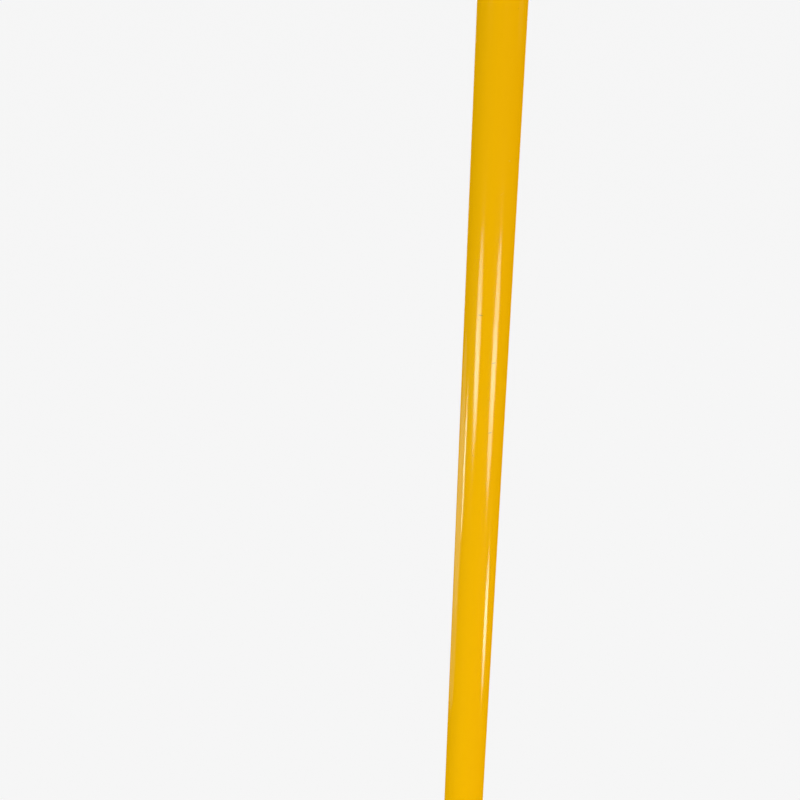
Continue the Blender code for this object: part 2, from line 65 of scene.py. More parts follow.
# %% Read the sizes
tube_low, tube_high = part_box("pole_tube")
_, cap_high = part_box("top_cap")
spike_low, spike_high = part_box("ground_spike")
plate_low, plate_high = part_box("tread_plate")
hub_low, hub_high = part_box("lower_spring_hub")
_, upper_hub_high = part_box("upper_spring_hub")
plug_low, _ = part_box("base_plug")
TUBE_RADIUS = tube_high.x
TUBE_WALL = 1.6 * MM
BORE_RADIUS = TUBE_RADIUS - TUBE_WALL
FIT_GAP = 0.3 * MM
THREAD_RADIUS = 6 * MM
THREAD_PITCH = 1.75 * MM
THREAD_HOLE_RADIUS = THREAD_RADIUS + FIT_GAP
THREAD_ENGAGEMENT = 22 * MM
HUB_FLANGE_THICKNESS = 12 * MM
LOWER_FLANGE_FACE = hub_low.z + HUB_FLANGE_THICKNESS
UPPER_FLANGE_FACE = upper_hub_high.z - HUB_FLANGE_THICKNESS
SCREW_COUNT = 3
SCREW_RADIUS = 2.1 * MM
SCREW_HOLE_RADIUS = SCREW_RADIUS + FIT_GAP
SCREW_HEIGHT = tube_low.z + 30 * MM
print("The tube is", round(2 * TUBE_RADIUS / MM), "mm across")

# %% [markdown]
# ## Where the photographer stood
# The photograph shows a plain stretch of the tube, and its two edges draw together downwards.
# Two straight lines are enough to find the camera. Where they meet is the direction straight
# down the pole, which gives the tilt. How far apart they are gives the distance, because the
# tube's real width is known. This is more reliable than turning a camera until it looks right.

# %% Measure the tube's edges
PHOTO_SIZE = 800              # pixels each way
LEFT_EDGE = (477.02, -0.04081)    # column at the top row, and its change from row to row
RIGHT_EDGE = (528.65, -0.05732)
LENS = 50.0                   # millimetres
SENSOR = 24.0                 # millimetres, the width that the square crop keeps
CAMERA_HEIGHT = 1.85          # metres above the ground, which keeps both ends out of view

focal_pixels = PHOTO_SIZE * LENS / SENSOR
meeting_row = (RIGHT_EDGE[0] - LEFT_EDGE[0]) / (LEFT_EDGE[1] - RIGHT_EDGE[1])
meeting_column = LEFT_EDGE[0] + LEFT_EDGE[1] * meeting_row


def sight_line(column, row):
    """The direction that a pixel looks along, in the camera's own axes."""
    middle = PHOTO_SIZE / 2
    across = (column - middle) / focal_pixels
    up = (middle - row) / focal_pixels
    return Vector((across, up, -1)).normalized()


print("The edges meet at", round(meeting_column), round(meeting_row))

# %% [markdown]
# Each edge and the camera's centre make a plane that touches the tube. Both planes hold the
# direction straight down. What is left of each, square to that, is a level heading, and the
# tube's axis lies halfway between the two headings.

# %% Place the camera
straight_down = sight_line(meeting_column, meeting_row)


def level_heading(edge):
    """The level direction from the camera towards one edge of the tube."""
    ray = sight_line(edge[0], 0)
    return (ray - ray.dot(straight_down) * straight_down).normalized()


to_left, to_right = level_heading(LEFT_EDGE), level_heading(RIGHT_EDGE)
ahead = (to_left + to_right).normalized()
camera_distance = TUBE_RADIUS / sin(to_left.angle(to_right) / 2)
camera_turn = Matrix((ahead.cross(-straight_down), ahead, -straight_down))
camera_place = Vector((0, -camera_distance, CAMERA_HEIGHT))

camera_data = bpy.data.cameras.new("photo_camera")
camera_data.lens = LENS
camera_data.sensor_width = SENSOR
camera = bpy.data.objects.new("photo_camera", camera_data)
bpy.context.scene.collection.objects.link(camera)
camera.matrix_world = Matrix.Translation(camera_place) @ camera_turn.to_4x4()
bpy.context.scene.camera = camera
print("The camera is", round(camera_distance, 3), "m from the pole")


# %% [markdown]
# ## The studio
# The background in the photograph is one pale grey, with no floor line. The floor and the
# world show that grey to the camera and to mirrors only. For all other light the floor is a
# plain white one and the world a dull pale sky, so the background can be as pale as it likes
# without burning out the pole. A little of the floor's real light is left in, for the shadow.
# The tube in the photograph is greener on its left and more orange on its right, so the sky
# is tinted a little from one side to the other.

# %% A short way to add shader nodes
def feed(tree, socket, value):
    """Join another node's output to a socket, or set the socket to a number or a colour."""
    if isinstance(value, bpy.types.NodeSocket):
        tree.links.new(value, socket)
    else:
        socket.default_value = value


def place(tree, kind, inputs=None, **settings):
    """Add a node, change its settings and feed its inputs."""
    made = tree.nodes.new("ShaderNode" + kind)
    for name, value in settings.items():
        setattr(made, name, value)
    for name, value in (inputs or {}).items():
        feed(tree, made.inputs[name], value)
    return made


def calc(tree, operation, first, second=0.0, clamp=False):
    """A Math node's answer."""
    made = place(tree, "Math", {0: first, 1: second}, operation=operation, use_clamp=clamp)
    return made.outputs[0]


def blend_colours(tree, mask, first, second):
    """One colour where the mask is 0, and the other where it is 1."""
    mix = place(tree, "Mix", {"Factor": mask}, data_type="RGBA")
    for label, colour in (("A", first), ("B", second)):
        plain = isinstance(colour, tuple)
        feed(tree, mix.inputs[label], (*colour[:3], 1.0) if plain else colour)
    return mix.outputs["Result"]


def seen_directly(tree):
    """1 for the camera's own rays and for what mirrors and glass show, 0 for other light."""
    path = place(tree, "LightPath").outputs
    mirrors = calc(tree, "ADD", path["Is Glossy Ray"], path["Is Transmission Ray"])
    return calc(tree, "ADD", path["Is Camera Ray"], mirrors, clamp=True)


def grey(level):
    """A neutral colour."""
    return (level, level, level, 1.0)


# %% Show one grey and light with another
BACKGROUND = 0.9216           # the photograph's grey, as light
SKY_LEFT = (0.69, 0.76, 0.68)
SKY_RIGHT = (0.65, 0.54, 0.68)
FLOOR_WHITE = 0.80
FLOOR_LIGHT = 0.85            # how brightly the lamps and the sky light the floor
FLOOR_SHADE = 0.015           # how much of the floor's own light and shadow is seen
NEAR_SHADE = 0.45             # the same, right at the spike
NEAR_RADIUS = 0.5             # metres from the spike, where the shadow has faded out
FLOOR_SIZE = 80.0
FLOOR_DROP = 1 * MM           # below the spike's tip

world = bpy.data.worlds.new("studio")
world.use_nodes = True
tree = world.node_tree
toward = place(tree, "SeparateXYZ", {0: place(tree, "TexCoord").outputs["Generated"]})
rightness = place(tree, "MapRange", {"Value": toward.outputs["X"], "From Min": -1.0})
tinted_sky = blend_colours(tree, rightness.outputs[0], SKY_LEFT, SKY_RIGHT)
sky = blend_colours(tree, seen_directly(tree), tinted_sky, grey(BACKGROUND))
feed(tree, tree.nodes["Background"].inputs["Color"], sky)
world.cycles.sampling_method = "NONE"     # so that each kind of ray gets its own sky
bpy.context.scene.world = world
bpy.context.scene.view_settings.view_transform = "Standard"

# %% [markdown]
# The pole is stood on its spike's tip, so that nothing is buried and the whole object can be
# looked at. Seen from below the floor would hide it, so the floor's underside is clear.

# %% The floor
bpy.ops.object.select_all(action="DESELECT")
floor_height = spike_low.z - FLOOR_DROP
bpy.ops.mesh.primitive_plane_add(size=FLOOR_SIZE, location=(0, 0, floor_height))
floor = bpy.context.object
floor.name = "floor"

floor_look = bpy.data.materials.new("pale_floor")
floor_look.use_nodes = True
tree = floor_look.node_tree
tree.nodes.remove(tree.nodes["Principled BSDF"])
lit = place(tree, "BsdfDiffuse", {"Color": grey(FLOOR_WHITE)})
where = place(tree, "TexCoord").outputs["Object"]
from_pole = place(tree, "VectorMath", {0: where}, operation="LENGTH").outputs["Value"]
shade = place(tree, "MapRange", {
    "Value": from_pole, "From Min": 0.0, "From Max": NEAR_RADIUS,
    "To Min": NEAR_SHADE, "To Max": FLOOR_SHADE}, interpolation_type="SMOOTHSTEP").outputs[0]
light = calc(tree, "SUBTRACT", BACKGROUND, calc(tree, "MULTIPLY", shade, FLOOR_LIGHT))
shaded = place(tree, "BsdfDiffuse", {"Color": shade})
glow = place(tree, "Emission", {"Color": light})
shown = place(tree, "AddShader", {0: shaded.outputs[0], 1: glow.outputs[0]})
top_side = place(tree, "MixShader",
                 {0: seen_directly(tree), 1: lit.outputs[0], 2: shown.outputs[0]})
clear = place(tree, "BsdfTransparent")
back = place(tree, "NewGeometry").outputs["Backfacing"]
both_sides = place(tree, "MixShader", {0: back, 1: top_side.outputs[0], 2: clear.outputs[0]})
tree.links.new(both_sides.outputs[0], tree.nodes["Material Output"].inputs["Surface"])
floor_look.cycles.emission_sampling = "NONE"
floor.data.materials.append(floor_look)

# %% [markdown]
# ## Lamps that land where the photograph's highlights are
# A glossy tube shows each lamp as a bright line, so the highlights say where the lamps stood.
# A ray is sent from the camera through a highlight's pixel, bounced off the tube, and followed
# for the lamp's distance. Doing this for both ends of a line gives the lamp's two ends.

# %% Follow a pixel to the tube and beyond
def column_at(share, row):
    """The column that is this share of the way across the tube, from its left edge."""
    left = LEFT_EDGE[0] + LEFT_EDGE[1] * row
    right = RIGHT_EDGE[0] + RIGHT_EDGE[1] * row
    return left + share * (right - left)


def pixel_on_tube(column, row):
    """Where a pixel's ray meets the tube, and the outward normal there."""
    ray = (camera_turn @ sight_line(column, row)).normalized()
    level = ray.xy.length_squared
    toward = -camera_place.xy.dot(ray.xy) / level
    miss = (camera_place.xy + toward * ray.xy).length
    reach = toward - sqrt(max(TUBE_RADIUS ** 2 - miss ** 2, 0) / level)
    point = camera_place + reach * ray
    return point, Vector((point.x, point.y, 0)).normalized()


def mirrored_place(column, row, distance):
    """The place that this pixel shows in the tube, as if the tube were a mirror."""
    point, normal = pixel_on_tube(column, row)
    ray = (point - camera_place).normalized()
    return point + ray.reflect(normal) * distance


# %% A short way to add lamps
def new_lamp(name, width, length, brightness, shape="RECTANGLE"):
    """A flat lamp that the camera doesn't see. The brightness is for each square metre."""
    data = bpy.data.lights.new(name, "AREA")
    data.shape = shape
    data.size, data.size_y = width, length
    data.energy = brightness * width * length
    lamp = bpy.data.objects.new(name, data)
    bpy.context.scene.collection.objects.link(lamp)
    lamp.visible_camera = False
    return lamp


def panel(name, bottom, top, width, brightness, shape="RECTANGLE"):
    """A flat lamp between two places, facing the pole."""
    middle = (bottom + top) / 2
    upright = (top - bottom).normalized()
    outward = Vector((middle.x, middle.y, 0))
    outward = (outward - outward.dot(upright) * upright).normalized()
    lamp = new_lamp(name, width, (top - bottom).length, brightness, shape)
    turn = Matrix((upright.cross(outward), upright, outward)).transposed()
    lamp.matrix_world = Matrix.Translation(middle) @ turn.to_4x4()
    return lamp


# %% [markdown]
# A real highlight is bright in its middle and fades to its edge. So most are made of a wide
# dish with a smaller core inside it, and the long one at the tube's left edge of a glow and a
# core. They are seen as gloss only. The tube's own yellow is added to what they show, so they
# are tinted away from red, and the sum is as pale as the photograph's highlights.

# %% Hang the highlights' lamps
# Each one's name, its share of the way across the tube at its top and bottom rows, those rows,
# the lamp's distance and width in metres, and its brightness
HIGHLIGHTS = [
    ("left_dish", 0.337, 0.312, 248, 442, 1.5, 0.62, 29.0),
    ("left_core", 0.326, 0.318, 318, 412, 1.5, 0.45, 24.0),
    ("right_dish", 0.70, 0.70, 240, 496, 1.5, 0.60, 33.0),
    ("right_core", 0.70, 0.70, 330, 416, 1.5, 0.42, 20.0),
    ("low_right_dish", 0.795, 0.84, 566, 674, 1.0, 0.27, 44.0),
    ("low_right_core", 0.81, 0.83, 590, 646, 1.0, 0.18, 26.0),
    ("left_edge_dish", 0.145, 0.145, 392, 532, 1.0, 0.15, 58.0),
    ("left_edge_glow", 0.06, 0.06, 330, 800, 1.0, 0.80, 4.0),
    ("left_edge_core", 0.07, 0.07, 396, 618, 1.0, 0.75, 4.4),
]
HIGHLIGHT_TINT = (0.75, 1.0, 0.96)
highlight_lamps = []
for name, top_share, bottom_share, top_row, bottom_row, distance, width, brightness in HIGHLIGHTS:
    high = mirrored_place(column_at(top_share, top_row), top_row, distance)
    low = mirrored_place(column_at(bottom_share, bottom_row), bottom_row, distance)
    lamp = panel(name, low, high, width, brightness, "ELLIPSE")
    lamp.data.color = HIGHLIGHT_TINT
    lamp.visible_diffuse = False
    highlight_lamps.append(lamp)
    print(name, "stands from", round(low.z, 2), "to", round(high.z, 2), "m")

# %% [markdown]
# The rest of the light is soft panels: two in front, one to the right and one behind. Three
# more lift the upper right side of the picture and both sides of its foot. Those three stand
# where the tube would mirror them, so they are hidden from reflections.

# %% Soft panels
# Each panel's name, its foot, its height and width in metres, its brightness, and whether
# it can be seen in reflections
SOFT_PANELS = [
    ("front_left_panel", Vector((-2.2, -1.6, 0.5)), 1.8, 1.4, 3.4, True),
    ("front_right_panel", Vector((1.2, -2.9, 0.5)), 1.8, 1.4, 7.4, True),
    ("right_panel", Vector((2.6, 0.2, 0.4)), 2.0, 1.4, 1.0, True),
    ("back_panel", Vector((0.8, 2.8, 0.2)), 2.2, 1.6, 3.0, True),
    ("high_right_panel", Vector((1.0, -1.2, 1.4)), 0.7, 1.0, 1.7, False),
    ("low_right_panel", Vector((0.9, -1.2, -0.2)), 0.6, 1.0, 7.8, False),
    ("low_left_panel", Vector((-1.4, -0.5, -0.2)), 0.6, 1.0, 4.2, False),
]
for name, foot, height, width, brightness, mirrored in SOFT_PANELS:
    lamp = panel(name, foot, foot + Vector((0, 0, height)), width, brightness)
    lamp.visible_glossy = mirrored

# %% [markdown]
# Two narrow lamps behind the pole are for its other sides: they put a bright line on the tube
# when it is looked at from the back. From the front they fall on its very edges.

# %% Strips behind the pole
STRIP_DISTANCE = 1.5
STRIP_WIDTH = 0.25
STRIP_LENGTH = 1.2
STRIP_FOOT = 0.1
STRIP_BRIGHTNESS = 9.0
for name, turn in (("back_right_strip", radians(165)), ("back_left_strip", radians(200))):
    foot = Vector((STRIP_DISTANCE * sin(turn), -STRIP_DISTANCE * cos(turn), STRIP_FOOT))
    lamp = panel(name, foot, foot + Vector((0, 0, STRIP_LENGTH)), STRIP_WIDTH,
                 STRIP_BRIGHTNESS, "ELLIPSE")
    lamp.visible_diffuse = False

# %% [markdown]
# ## Dark cards
# In a wholly white room a glossy tube looks milky and plated steel has no shape. Photographers
# stand dark card out of the frame. One card lies on the floor all round the pole. The other
# stands behind the pole on the right, and gives the steel a dark side. They are seen by
# reflections only: they take no light from the pole, and the camera doesn't see them.

# %% Lay and stand the cards
CARD_GREY = 0.015
CARD_SIZE = 24.0
CARD_LIFT = 0.4 * MM          # above the floor, and still below the spike
SIDE_CARD_TURN = radians(135)     # from the camera's side, towards the right
SIDE_CARD_DISTANCE = 1.8
SIDE_CARD_WIDTH = 1.4
SIDE_CARD_HEIGHT = 2.4

card_look = bpy.data.materials.new("dark_card")
card_look.use_nodes = True
card_shader = card_look.node_tree.nodes["Principled BSDF"]
card_shader.inputs["Base Color"].default_value = grey(CARD_GREY)
card_shader.inputs["Roughness"].default_value = 1.0
card_shader.inputs["Specular IOR Level"].default_value = 0.0


def darken(card, name):
    """Give a card its finish, and show it to reflections only."""
    card.name = name
    card.data.materials.append(card_look)
    card.visible_camera = False
    card.visible_diffuse = False
    card.visible_transmission = False
    card.visible_shadow = False


bpy.ops.object.select_all(action="DESELECT")
bpy.ops.mesh.primitive_plane_add(size=CARD_SIZE, location=(0, 0, floor_height + CARD_LIFT))
darken(bpy.context.object, "floor_card")

bpy.ops.object.select_all(action="DESELECT")
bpy.ops.mesh.primitive_plane_add(size=1, rotation=(pi / 2, 0, SIDE_CARD_TURN), location=(
    SIDE_CARD_DISTANCE * sin(SIDE_CARD_TURN), -SIDE_CARD_DISTANCE * cos(SIDE_CARD_TURN),
    floor_height + SIDE_CARD_HEIGHT / 2))
bpy.context.object.scale = (SIDE_CARD_WIDTH, SIDE_CARD_HEIGHT, 1)
darken(bpy.context.object, "side_card")

# %% [markdown]
# ## Finishes
# Effects that more than one material uses are node groups, built once. Each takes the place
# on the surface and gives back a mask from 0 to 1. Lengthwise streaks are what a die leaves on
# a drawn or extruded bar: noise that is squeezed across the bar and stretched along it.

# %% Groups for streaks and lathe rings
def new_group(name, inputs, outputs):
    """An empty node group with its named sockets, and the nodes that carry them."""
    group = bpy.data.node_groups.new(name, "ShaderNodeTree")
    for label, kind, value in inputs:
        socket = group.interface.new_socket(label, in_out="INPUT", socket_type=kind)
        if value is not None:
            socket.default_value = value
    for label, kind in outputs:
        group.interface.new_socket(label, in_out="OUTPUT", socket_type=kind)
    entry = group.nodes.new("NodeGroupInput").outputs
    leave = group.nodes.new("NodeGroupOutput").inputs
    return group, entry, leave


streaks, given, result = new_group(
    "long_streaks",
    [("Place", "NodeSocketVector", None),
     ("Across", "NodeSocketFloat", 900.0),
     ("Along", "NodeSocketFloat", 3.0)],
    [("Mask", "NodeSocketFloat")],
)
squeeze = place(streaks, "CombineXYZ",
                {"X": given["Across"], "Y": given["Across"], "Z": given["Along"]})
stretched = place(streaks, "VectorMath", {0: given["Place"], 1: squeeze.outputs[0]},
                  operation="MULTIPLY")
grain = place(streaks, "TexNoise",
              {"Vector": stretched.outputs[0], "Scale": 1.0, "Detail": 4.0, "Roughness": 0.6})
streaks.links.new(grain.outputs["Fac"], result["Mask"])

# %% [markdown]
# A lathe tool leaves rings. On a wall they follow the height and on a face the radius, so the
# sum of the two gives rings on both, with no seam where they meet.

# %% Lathe rings
rings, given, result = new_group(
    "lathe_rings",
    [("Place", "NodeSocketVector", None), ("Spacing", "NodeSocketFloat", 0.0004)],
    [("Mask", "NodeSocketFloat")],
)
parts = place(rings, "SeparateXYZ", {0: given["Place"]}).outputs
square = calc(rings, "ADD", calc(rings, "MULTIPLY", parts["X"], parts["X"]),
              calc(rings, "MULTIPLY", parts["Y"], parts["Y"]))
travel = calc(rings, "ADD", calc(rings, "SQRT", square), parts["Z"])
count = calc(rings, "DIVIDE", travel, given["Spacing"])
wave = place(rings, "TexNoise", {"W": count, "Scale": 1.0, "Detail": 3.0},
             noise_dimensions="1D")
rings.links.new(wave.outputs["Fac"], result["Mask"])

# %% [markdown]
# Handling leaves hairline scratches and small specks. Cell edges make good scratches when only
# a thin band round each edge is kept and a second noise rubs most of it out. Specks are the
# middles of a few cells, chosen by each cell's own random colour.

# %% Scratches and specks
scratches, given, result = new_group(
    "hairlines",
    [("Place", "NodeSocketVector", None),
     ("Density", "NodeSocketFloat", 25.0),
     ("Width", "NodeSocketFloat", 0.006),
     ("Share", "NodeSocketFloat", 0.35)],
    [("Mask", "NodeSocketFloat")],
)
wander = place(scratches, "TexNoise",
               {"Vector": given["Place"], "Scale": 9.0, "Detail": 2.0})
bent = place(scratches, "VectorMath",
             {0: wander.outputs["Color"], 1: (0.05, 0.05, 0.05), 2: given["Place"]},
             operation="MULTIPLY_ADD")
cells = place(scratches, "TexVoronoi",
              {"Vector": bent.outputs[0], "Scale": given["Density"]},
              feature="DISTANCE_TO_EDGE")
thin = calc(scratches, "LESS_THAN", cells.outputs["Distance"], given["Width"])
rub = place(scratches, "TexNoise",
            {"Vector": given["Place"], "Scale": calc(scratches, "MULTIPLY",
                                                     given["Density"], 1.7),
             "Detail": 2.0})
kept = calc(scratches, "LESS_THAN", rub.outputs["Fac"], given["Share"])
scratches.links.new(calc(scratches, "MULTIPLY", thin, kept), result["Mask"])

specks, given, result = new_group(
    "specks",
    [("Place", "NodeSocketVector", None),
     ("Density", "NodeSocketFloat", 60.0),
     ("Size", "NodeSocketFloat", 0.05),
     ("Share", "NodeSocketFloat", 0.1)],
    [("Mask", "NodeSocketFloat")],
)
spots = place(specks, "TexVoronoi", {"Vector": given["Place"], "Scale": given["Density"]})
near = calc(specks, "LESS_THAN", spots.outputs["Distance"], given["Size"])
pick_number = place(specks, "SeparateColor", {"Color": spots.outputs["Color"]})
chosen = calc(specks, "LESS_THAN", pick_number.outputs[0], given["Share"])
specks.links.new(calc(specks, "MULTIPLY", near, chosen), result["Mask"])

# %% [markdown]
# Plating and moulding colour wear first on the edges. A Bevel node says which way a rounded
# surface would face, and where that differs from the real one there is an edge.

# %% Worn edges
wear, given, result = new_group(
    "edge_wear",
    [("Place", "NodeSocketVector", None),
     ("Amount", "NodeSocketFloat", 0.5)],
    [("Mask", "NodeSocketFloat")],
)
WEAR_RADIUS = 0.7 * MM
rounded = place(wear, "Bevel", {"Radius": WEAR_RADIUS}, samples=6)
real = place(wear, "NewGeometry")
same = place(wear, "VectorMath", {0: rounded.outputs[0], 1: real.outputs["Normal"]},
             operation="DOT_PRODUCT")
edge = place(wear, "MapRange",
             {"Value": same.outputs["Value"], "From Min": 0.995, "From Max": 0.90})
patchy = place(wear, "TexNoise", {"Vector": given["Place"], "Scale": 320.0, "Detail": 3.0})
worn = calc(wear, "MULTIPLY", edge.outputs["Result"], patchy.outputs["Fac"])
wear.links.new(calc(wear, "MULTIPLY", worn, given["Amount"]), result["Mask"])

# %% [markdown]
# Every finish is mixed in the same way. Masks from the groups choose between a few colours, and
# the same masks say how rough the surface is and how deep its marks are, so that what looks
# worn also shines as worn. A picture wrapped round the piece could show the same marks, but
# it would blur close by, and masks worked out from the place on the surface never do.

# %% A short way to mix a finish
def use(tree, group, **inputs):
    """Put a node group into a material and give back its mask."""
    made = place(tree, "Group", node_tree=group)
    for label, value in inputs.items():
        feed(tree, made.inputs[label], value)
    return made.outputs[0]


def spread(tree, mask, low, high):
    """Stretch a mask from 0 and 1 to two other numbers."""
    return place(tree, "MapRange", {"Value": mask, "To Min": low, "To Max": high}).outputs[0]


def new_finish(name, **constants):
    """A material, its shader, and the place on the surface that its patterns read."""
    look = bpy.data.materials.new(name)
    look.use_nodes = True
    shader = look.node_tree.nodes["Principled BSDF"]
    for label, value in constants.items():
        shader.inputs[label.replace("_", " ")].default_value = value
    where = place(look.node_tree, "TexCoord").outputs["Object"]
    return look, look.node_tree, shader, where


def finish_with(tree, shader, colour, roughness, height, depth):
    """Join a finish's colour, roughness and bump to its shader. The depth is in metres."""
    bump = place(tree, "Bump", {"Height": height, "Distance": depth, "Strength": 1.0})
    tree.links.new(colour, shader.inputs["Base Color"])
    tree.links.new(roughness, shader.inputs["Roughness"])
    tree.links.new(bump.outputs["Normal"], shader.inputs["Normal"])


# %% [markdown]
# ## Yellow tube
# The tube is extruded PVC, coloured all through. The die leaves faint lines along it. Its gloss
# is a thin share of a coat that bends light strongly. Such a coat mirrors almost as much from
# the front as at a glancing angle, so the tube's edges don't turn white. The photograph shows a
# few small dark nicks, and each is put back where its pixel falls on the tube.

# %% Tube finish
DEEP_YELLOW = (0.833, 0.438, 0.0)
LIGHT_YELLOW = (0.877, 0.468, 0.0)
NICK_BROWN = (0.34, 0.19, 0.02)
SCUFF_YELLOW = (0.90, 0.60, 0.16)
DIE_LINE_DEPTH = 0.012 * MM
NICK_EDGE = 2.5               # how quickly a nick darkens inwards from its edge

# Each nick's column and row in the photograph, and its half width and half height
NICKS = [
    (480.6, 315.3, 3.2 * MM, 0.75 * MM),
    (493.9, 363.1, 2.8 * MM, 0.70 * MM),
    (490.0, 432.9, 2.8 * MM, 0.65 * MM),
    (473.4, 374.3, 0.7 * MM, 0.50 * MM),
    (473.9, 394.4, 0.6 * MM, 0.50 * MM),
    (478.6, 320.0, 0.6 * MM, 0.50 * MM),
    (472.9, 455.6, 0.6 * MM, 0.60 * MM),
]

yellow_pvc, tree, shader, where = new_finish(
    "yellow_pvc", Coat_Weight=0.083, Coat_IOR=2.5, Coat_Roughness=0.10, Specular_IOR_Level=0.0)


def nick_mask(tree, where, nick):
    """1 in the middle of a nick, falling to 0 at its edge."""
    column, row, half_width, half_height = nick
    middle, _ = pixel_on_tube(column, row)
    away = place(tree, "VectorMath", {0: where, 1: middle}, operation="SUBTRACT")
    scale = (1 / half_width, 1 / half_width, 1 / half_height)
    shares = place(tree, "VectorMath", {0: away.outputs[0], 1: scale}, operation="MULTIPLY")
    length = place(tree, "VectorMath", {0: shares.outputs[0]}, operation="LENGTH")
    inside = calc(tree, "SUBTRACT", 1.0, length.outputs["Value"])
    return calc(tree, "MULTIPLY", inside, NICK_EDGE, clamp=True)


die_lines = use(tree, streaks, Place=where, Across=700.0, Along=2.5)
cloud = place(tree, "TexNoise", {"Vector": where, "Scale": 7.0, "Detail": 2.0})
tone = calc(tree, "ADD", calc(tree, "MULTIPLY", die_lines, 0.55),
            calc(tree, "MULTIPLY", cloud.outputs["Fac"], 0.45))
yellow = blend_colours(tree, tone, DEEP_YELLOW, LIGHT_YELLOW)
scuffs = use(tree, scratches, Place=where, Density=22.0, Width=0.004, Share=0.30)
yellow = blend_colours(tree, calc(tree, "MULTIPLY", scuffs, 0.30), yellow, SCUFF_YELLOW)
dark = use(tree, specks, Place=where, Density=70.0, Size=0.022, Share=0.06)
for nick in NICKS:
    dark = calc(tree, "MAXIMUM", dark, nick_mask(tree, where, nick))
yellow = blend_colours(tree, calc(tree, "MULTIPLY", dark, 0.75), yellow, NICK_BROWN)
rough = calc(tree, "ADD", spread(tree, die_lines, 0.26, 0.34),
             calc(tree, "MULTIPLY", calc(tree, "MAXIMUM", scuffs, dark), 0.25))
relief = calc(tree, "SUBTRACT", die_lines, calc(tree, "MULTIPLY", dark, 2.0))
finish_with(tree, shader, yellow, rough, relief, DIE_LINE_DEPTH)

# %% [markdown]
# ## Moulded pieces
# The cap and the plug are injection moulded. A mould is spark eroded, which prints a fine
# leathery grain on the plastic, so the highlights are wide and soft. Both are rubbed paler on
# their edges, the black plug more than the cap.

# %% Moulded finishes
CAP_YELLOW, CAP_SCUFF = (0.83, 0.445, 0.0), (0.90, 0.54, 0.06)
NYLON_BLACK, NYLON_SCUFF = (0.016, 0.016, 0.017), (0.085, 0.085, 0.09)


def moulded(name, base, lighter, roughness, grain_scale, grain_depth, wear_amount):
    """A satin moulded plastic with worn edges and a few scuffs."""
    look, tree, shader, where = new_finish(name)
    coarse = place(tree, "TexNoise", {"Vector": where, "Scale": 35.0, "Detail": 3.0})
    fine = place(tree, "TexNoise", {"Vector": where, "Scale": grain_scale, "Detail": 2.0})
    worn = use(tree, wear, Place=where, Amount=wear_amount)
    marks = use(tree, scratches, Place=where, Density=60.0, Width=0.005, Share=0.40)
    rubbed = calc(tree, "MAXIMUM", worn, calc(tree, "MULTIPLY", marks, 0.35))
    warm = blend_colours(tree, calc(tree, "MULTIPLY", coarse.outputs["Fac"], 0.35),
                         base, lighter)
    colour = blend_colours(tree, rubbed, warm, lighter)
    rough = calc(tree, "ADD", spread(tree, coarse.outputs["Fac"], roughness - 0.06,
                                     roughness + 0.06),
                 calc(tree, "MULTIPLY", rubbed, 0.15))
    finish_with(tree, shader, colour, rough, fine.outputs["Fac"], grain_depth)
    return look


yellow_cap = moulded("yellow_cap", CAP_YELLOW, CAP_SCUFF, roughness=0.38,
                     grain_scale=900.0, grain_depth=0.03 * MM, wear_amount=0.35)
black_nylon = moulded("black_nylon", NYLON_BLACK, NYLON_SCUFF, roughness=0.46,
                      grain_scale=1300.0, grain_depth=0.04 * MM, wear_amount=0.8)

# %% [markdown]
# ## Plated steel
# The turned pieces are zinc plated and then passivated, which leaves a thin film with a breath
# of blue and straw in it. The tool's rings stay visible through the plating, and the edges
# are rubbed brighter. The spring's wire has the same plating over the lines of its drawing die,
# so one recipe makes both, and only the texture under the plating is swapped.

# %% Steel finishes
ZINC_GREY, ZINC_STRAW = (0.60, 0.61, 0.64), (0.66, 0.65, 0.58)
WIRE_GREY, WIRE_STRAW = (0.40, 0.41, 0.44), (0.50, 0.49, 0.46)
RUBBED_BRIGHTER = 1.3         # how much paler the steel is where its edges are rubbed


def plated_steel(name, base, film, texture, depth, roughness=0.27, where_from=None):
    """Zinc plated steel. The texture is given the tree and the place, and gives back a mask."""
    look, tree, shader, where = new_finish(name, Metallic=1.0)
    if where_from:
        where = place(tree, "Attribute", attribute_name=where_from).outputs["Vector"]
    tooling = texture(tree, where)
    clouds = place(tree, "TexNoise", {"Vector": where, "Scale": 60.0, "Detail": 4.0})
    tinted = blend_colours(tree, clouds.outputs["Fac"], base, film)
    worn = use(tree, wear, Place=where, Amount=0.9)
    bright = tuple(min(1.0, RUBBED_BRIGHTER * part) for part in base)
    colour = blend_colours(tree, worn, tinted, bright)
    rough = calc(tree, "ADD", spread(tree, tooling, roughness - 0.08, roughness + 0.10),
                 calc(tree, "MULTIPLY", clouds.outputs["Fac"], 0.06))
    finish_with(tree, shader, colour, rough, tooling, depth)
    return look


def lathe_texture(tree, where):
    """Rings left by the tool of a lathe."""
    return use(tree, rings, Place=where, Spacing=0.5 * MM)


def drawn_texture(tree, where):
    """Lines left by the die that the wire is drawn through."""
    return use(tree, streaks, Place=where, Across=1500.0, Along=25.0)


zinc_steel = plated_steel("zinc_steel", ZINC_GREY, ZINC_STRAW, lathe_texture, 0.012 * MM)
spring_steel = plated_steel("spring_steel", WIRE_GREY, WIRE_STRAW, drawn_texture, 0.010 * MM,
                            where_from="wire_place")

# %% [markdown]
# The tread plate is dipped in molten zinc. As that sets it grows flat crystals a few
# millimetres wide, and each catches the light in its own way. A cell pattern gives every
# crystal one grey and one roughness of its own.

# %% Dipped plate finish
CRYSTAL_DARK, CRYSTAL_PALE = (0.40, 0.41, 0.43), (0.60, 0.61, 0.63)
SCRAPED_ZINC = (0.74, 0.75, 0.77)

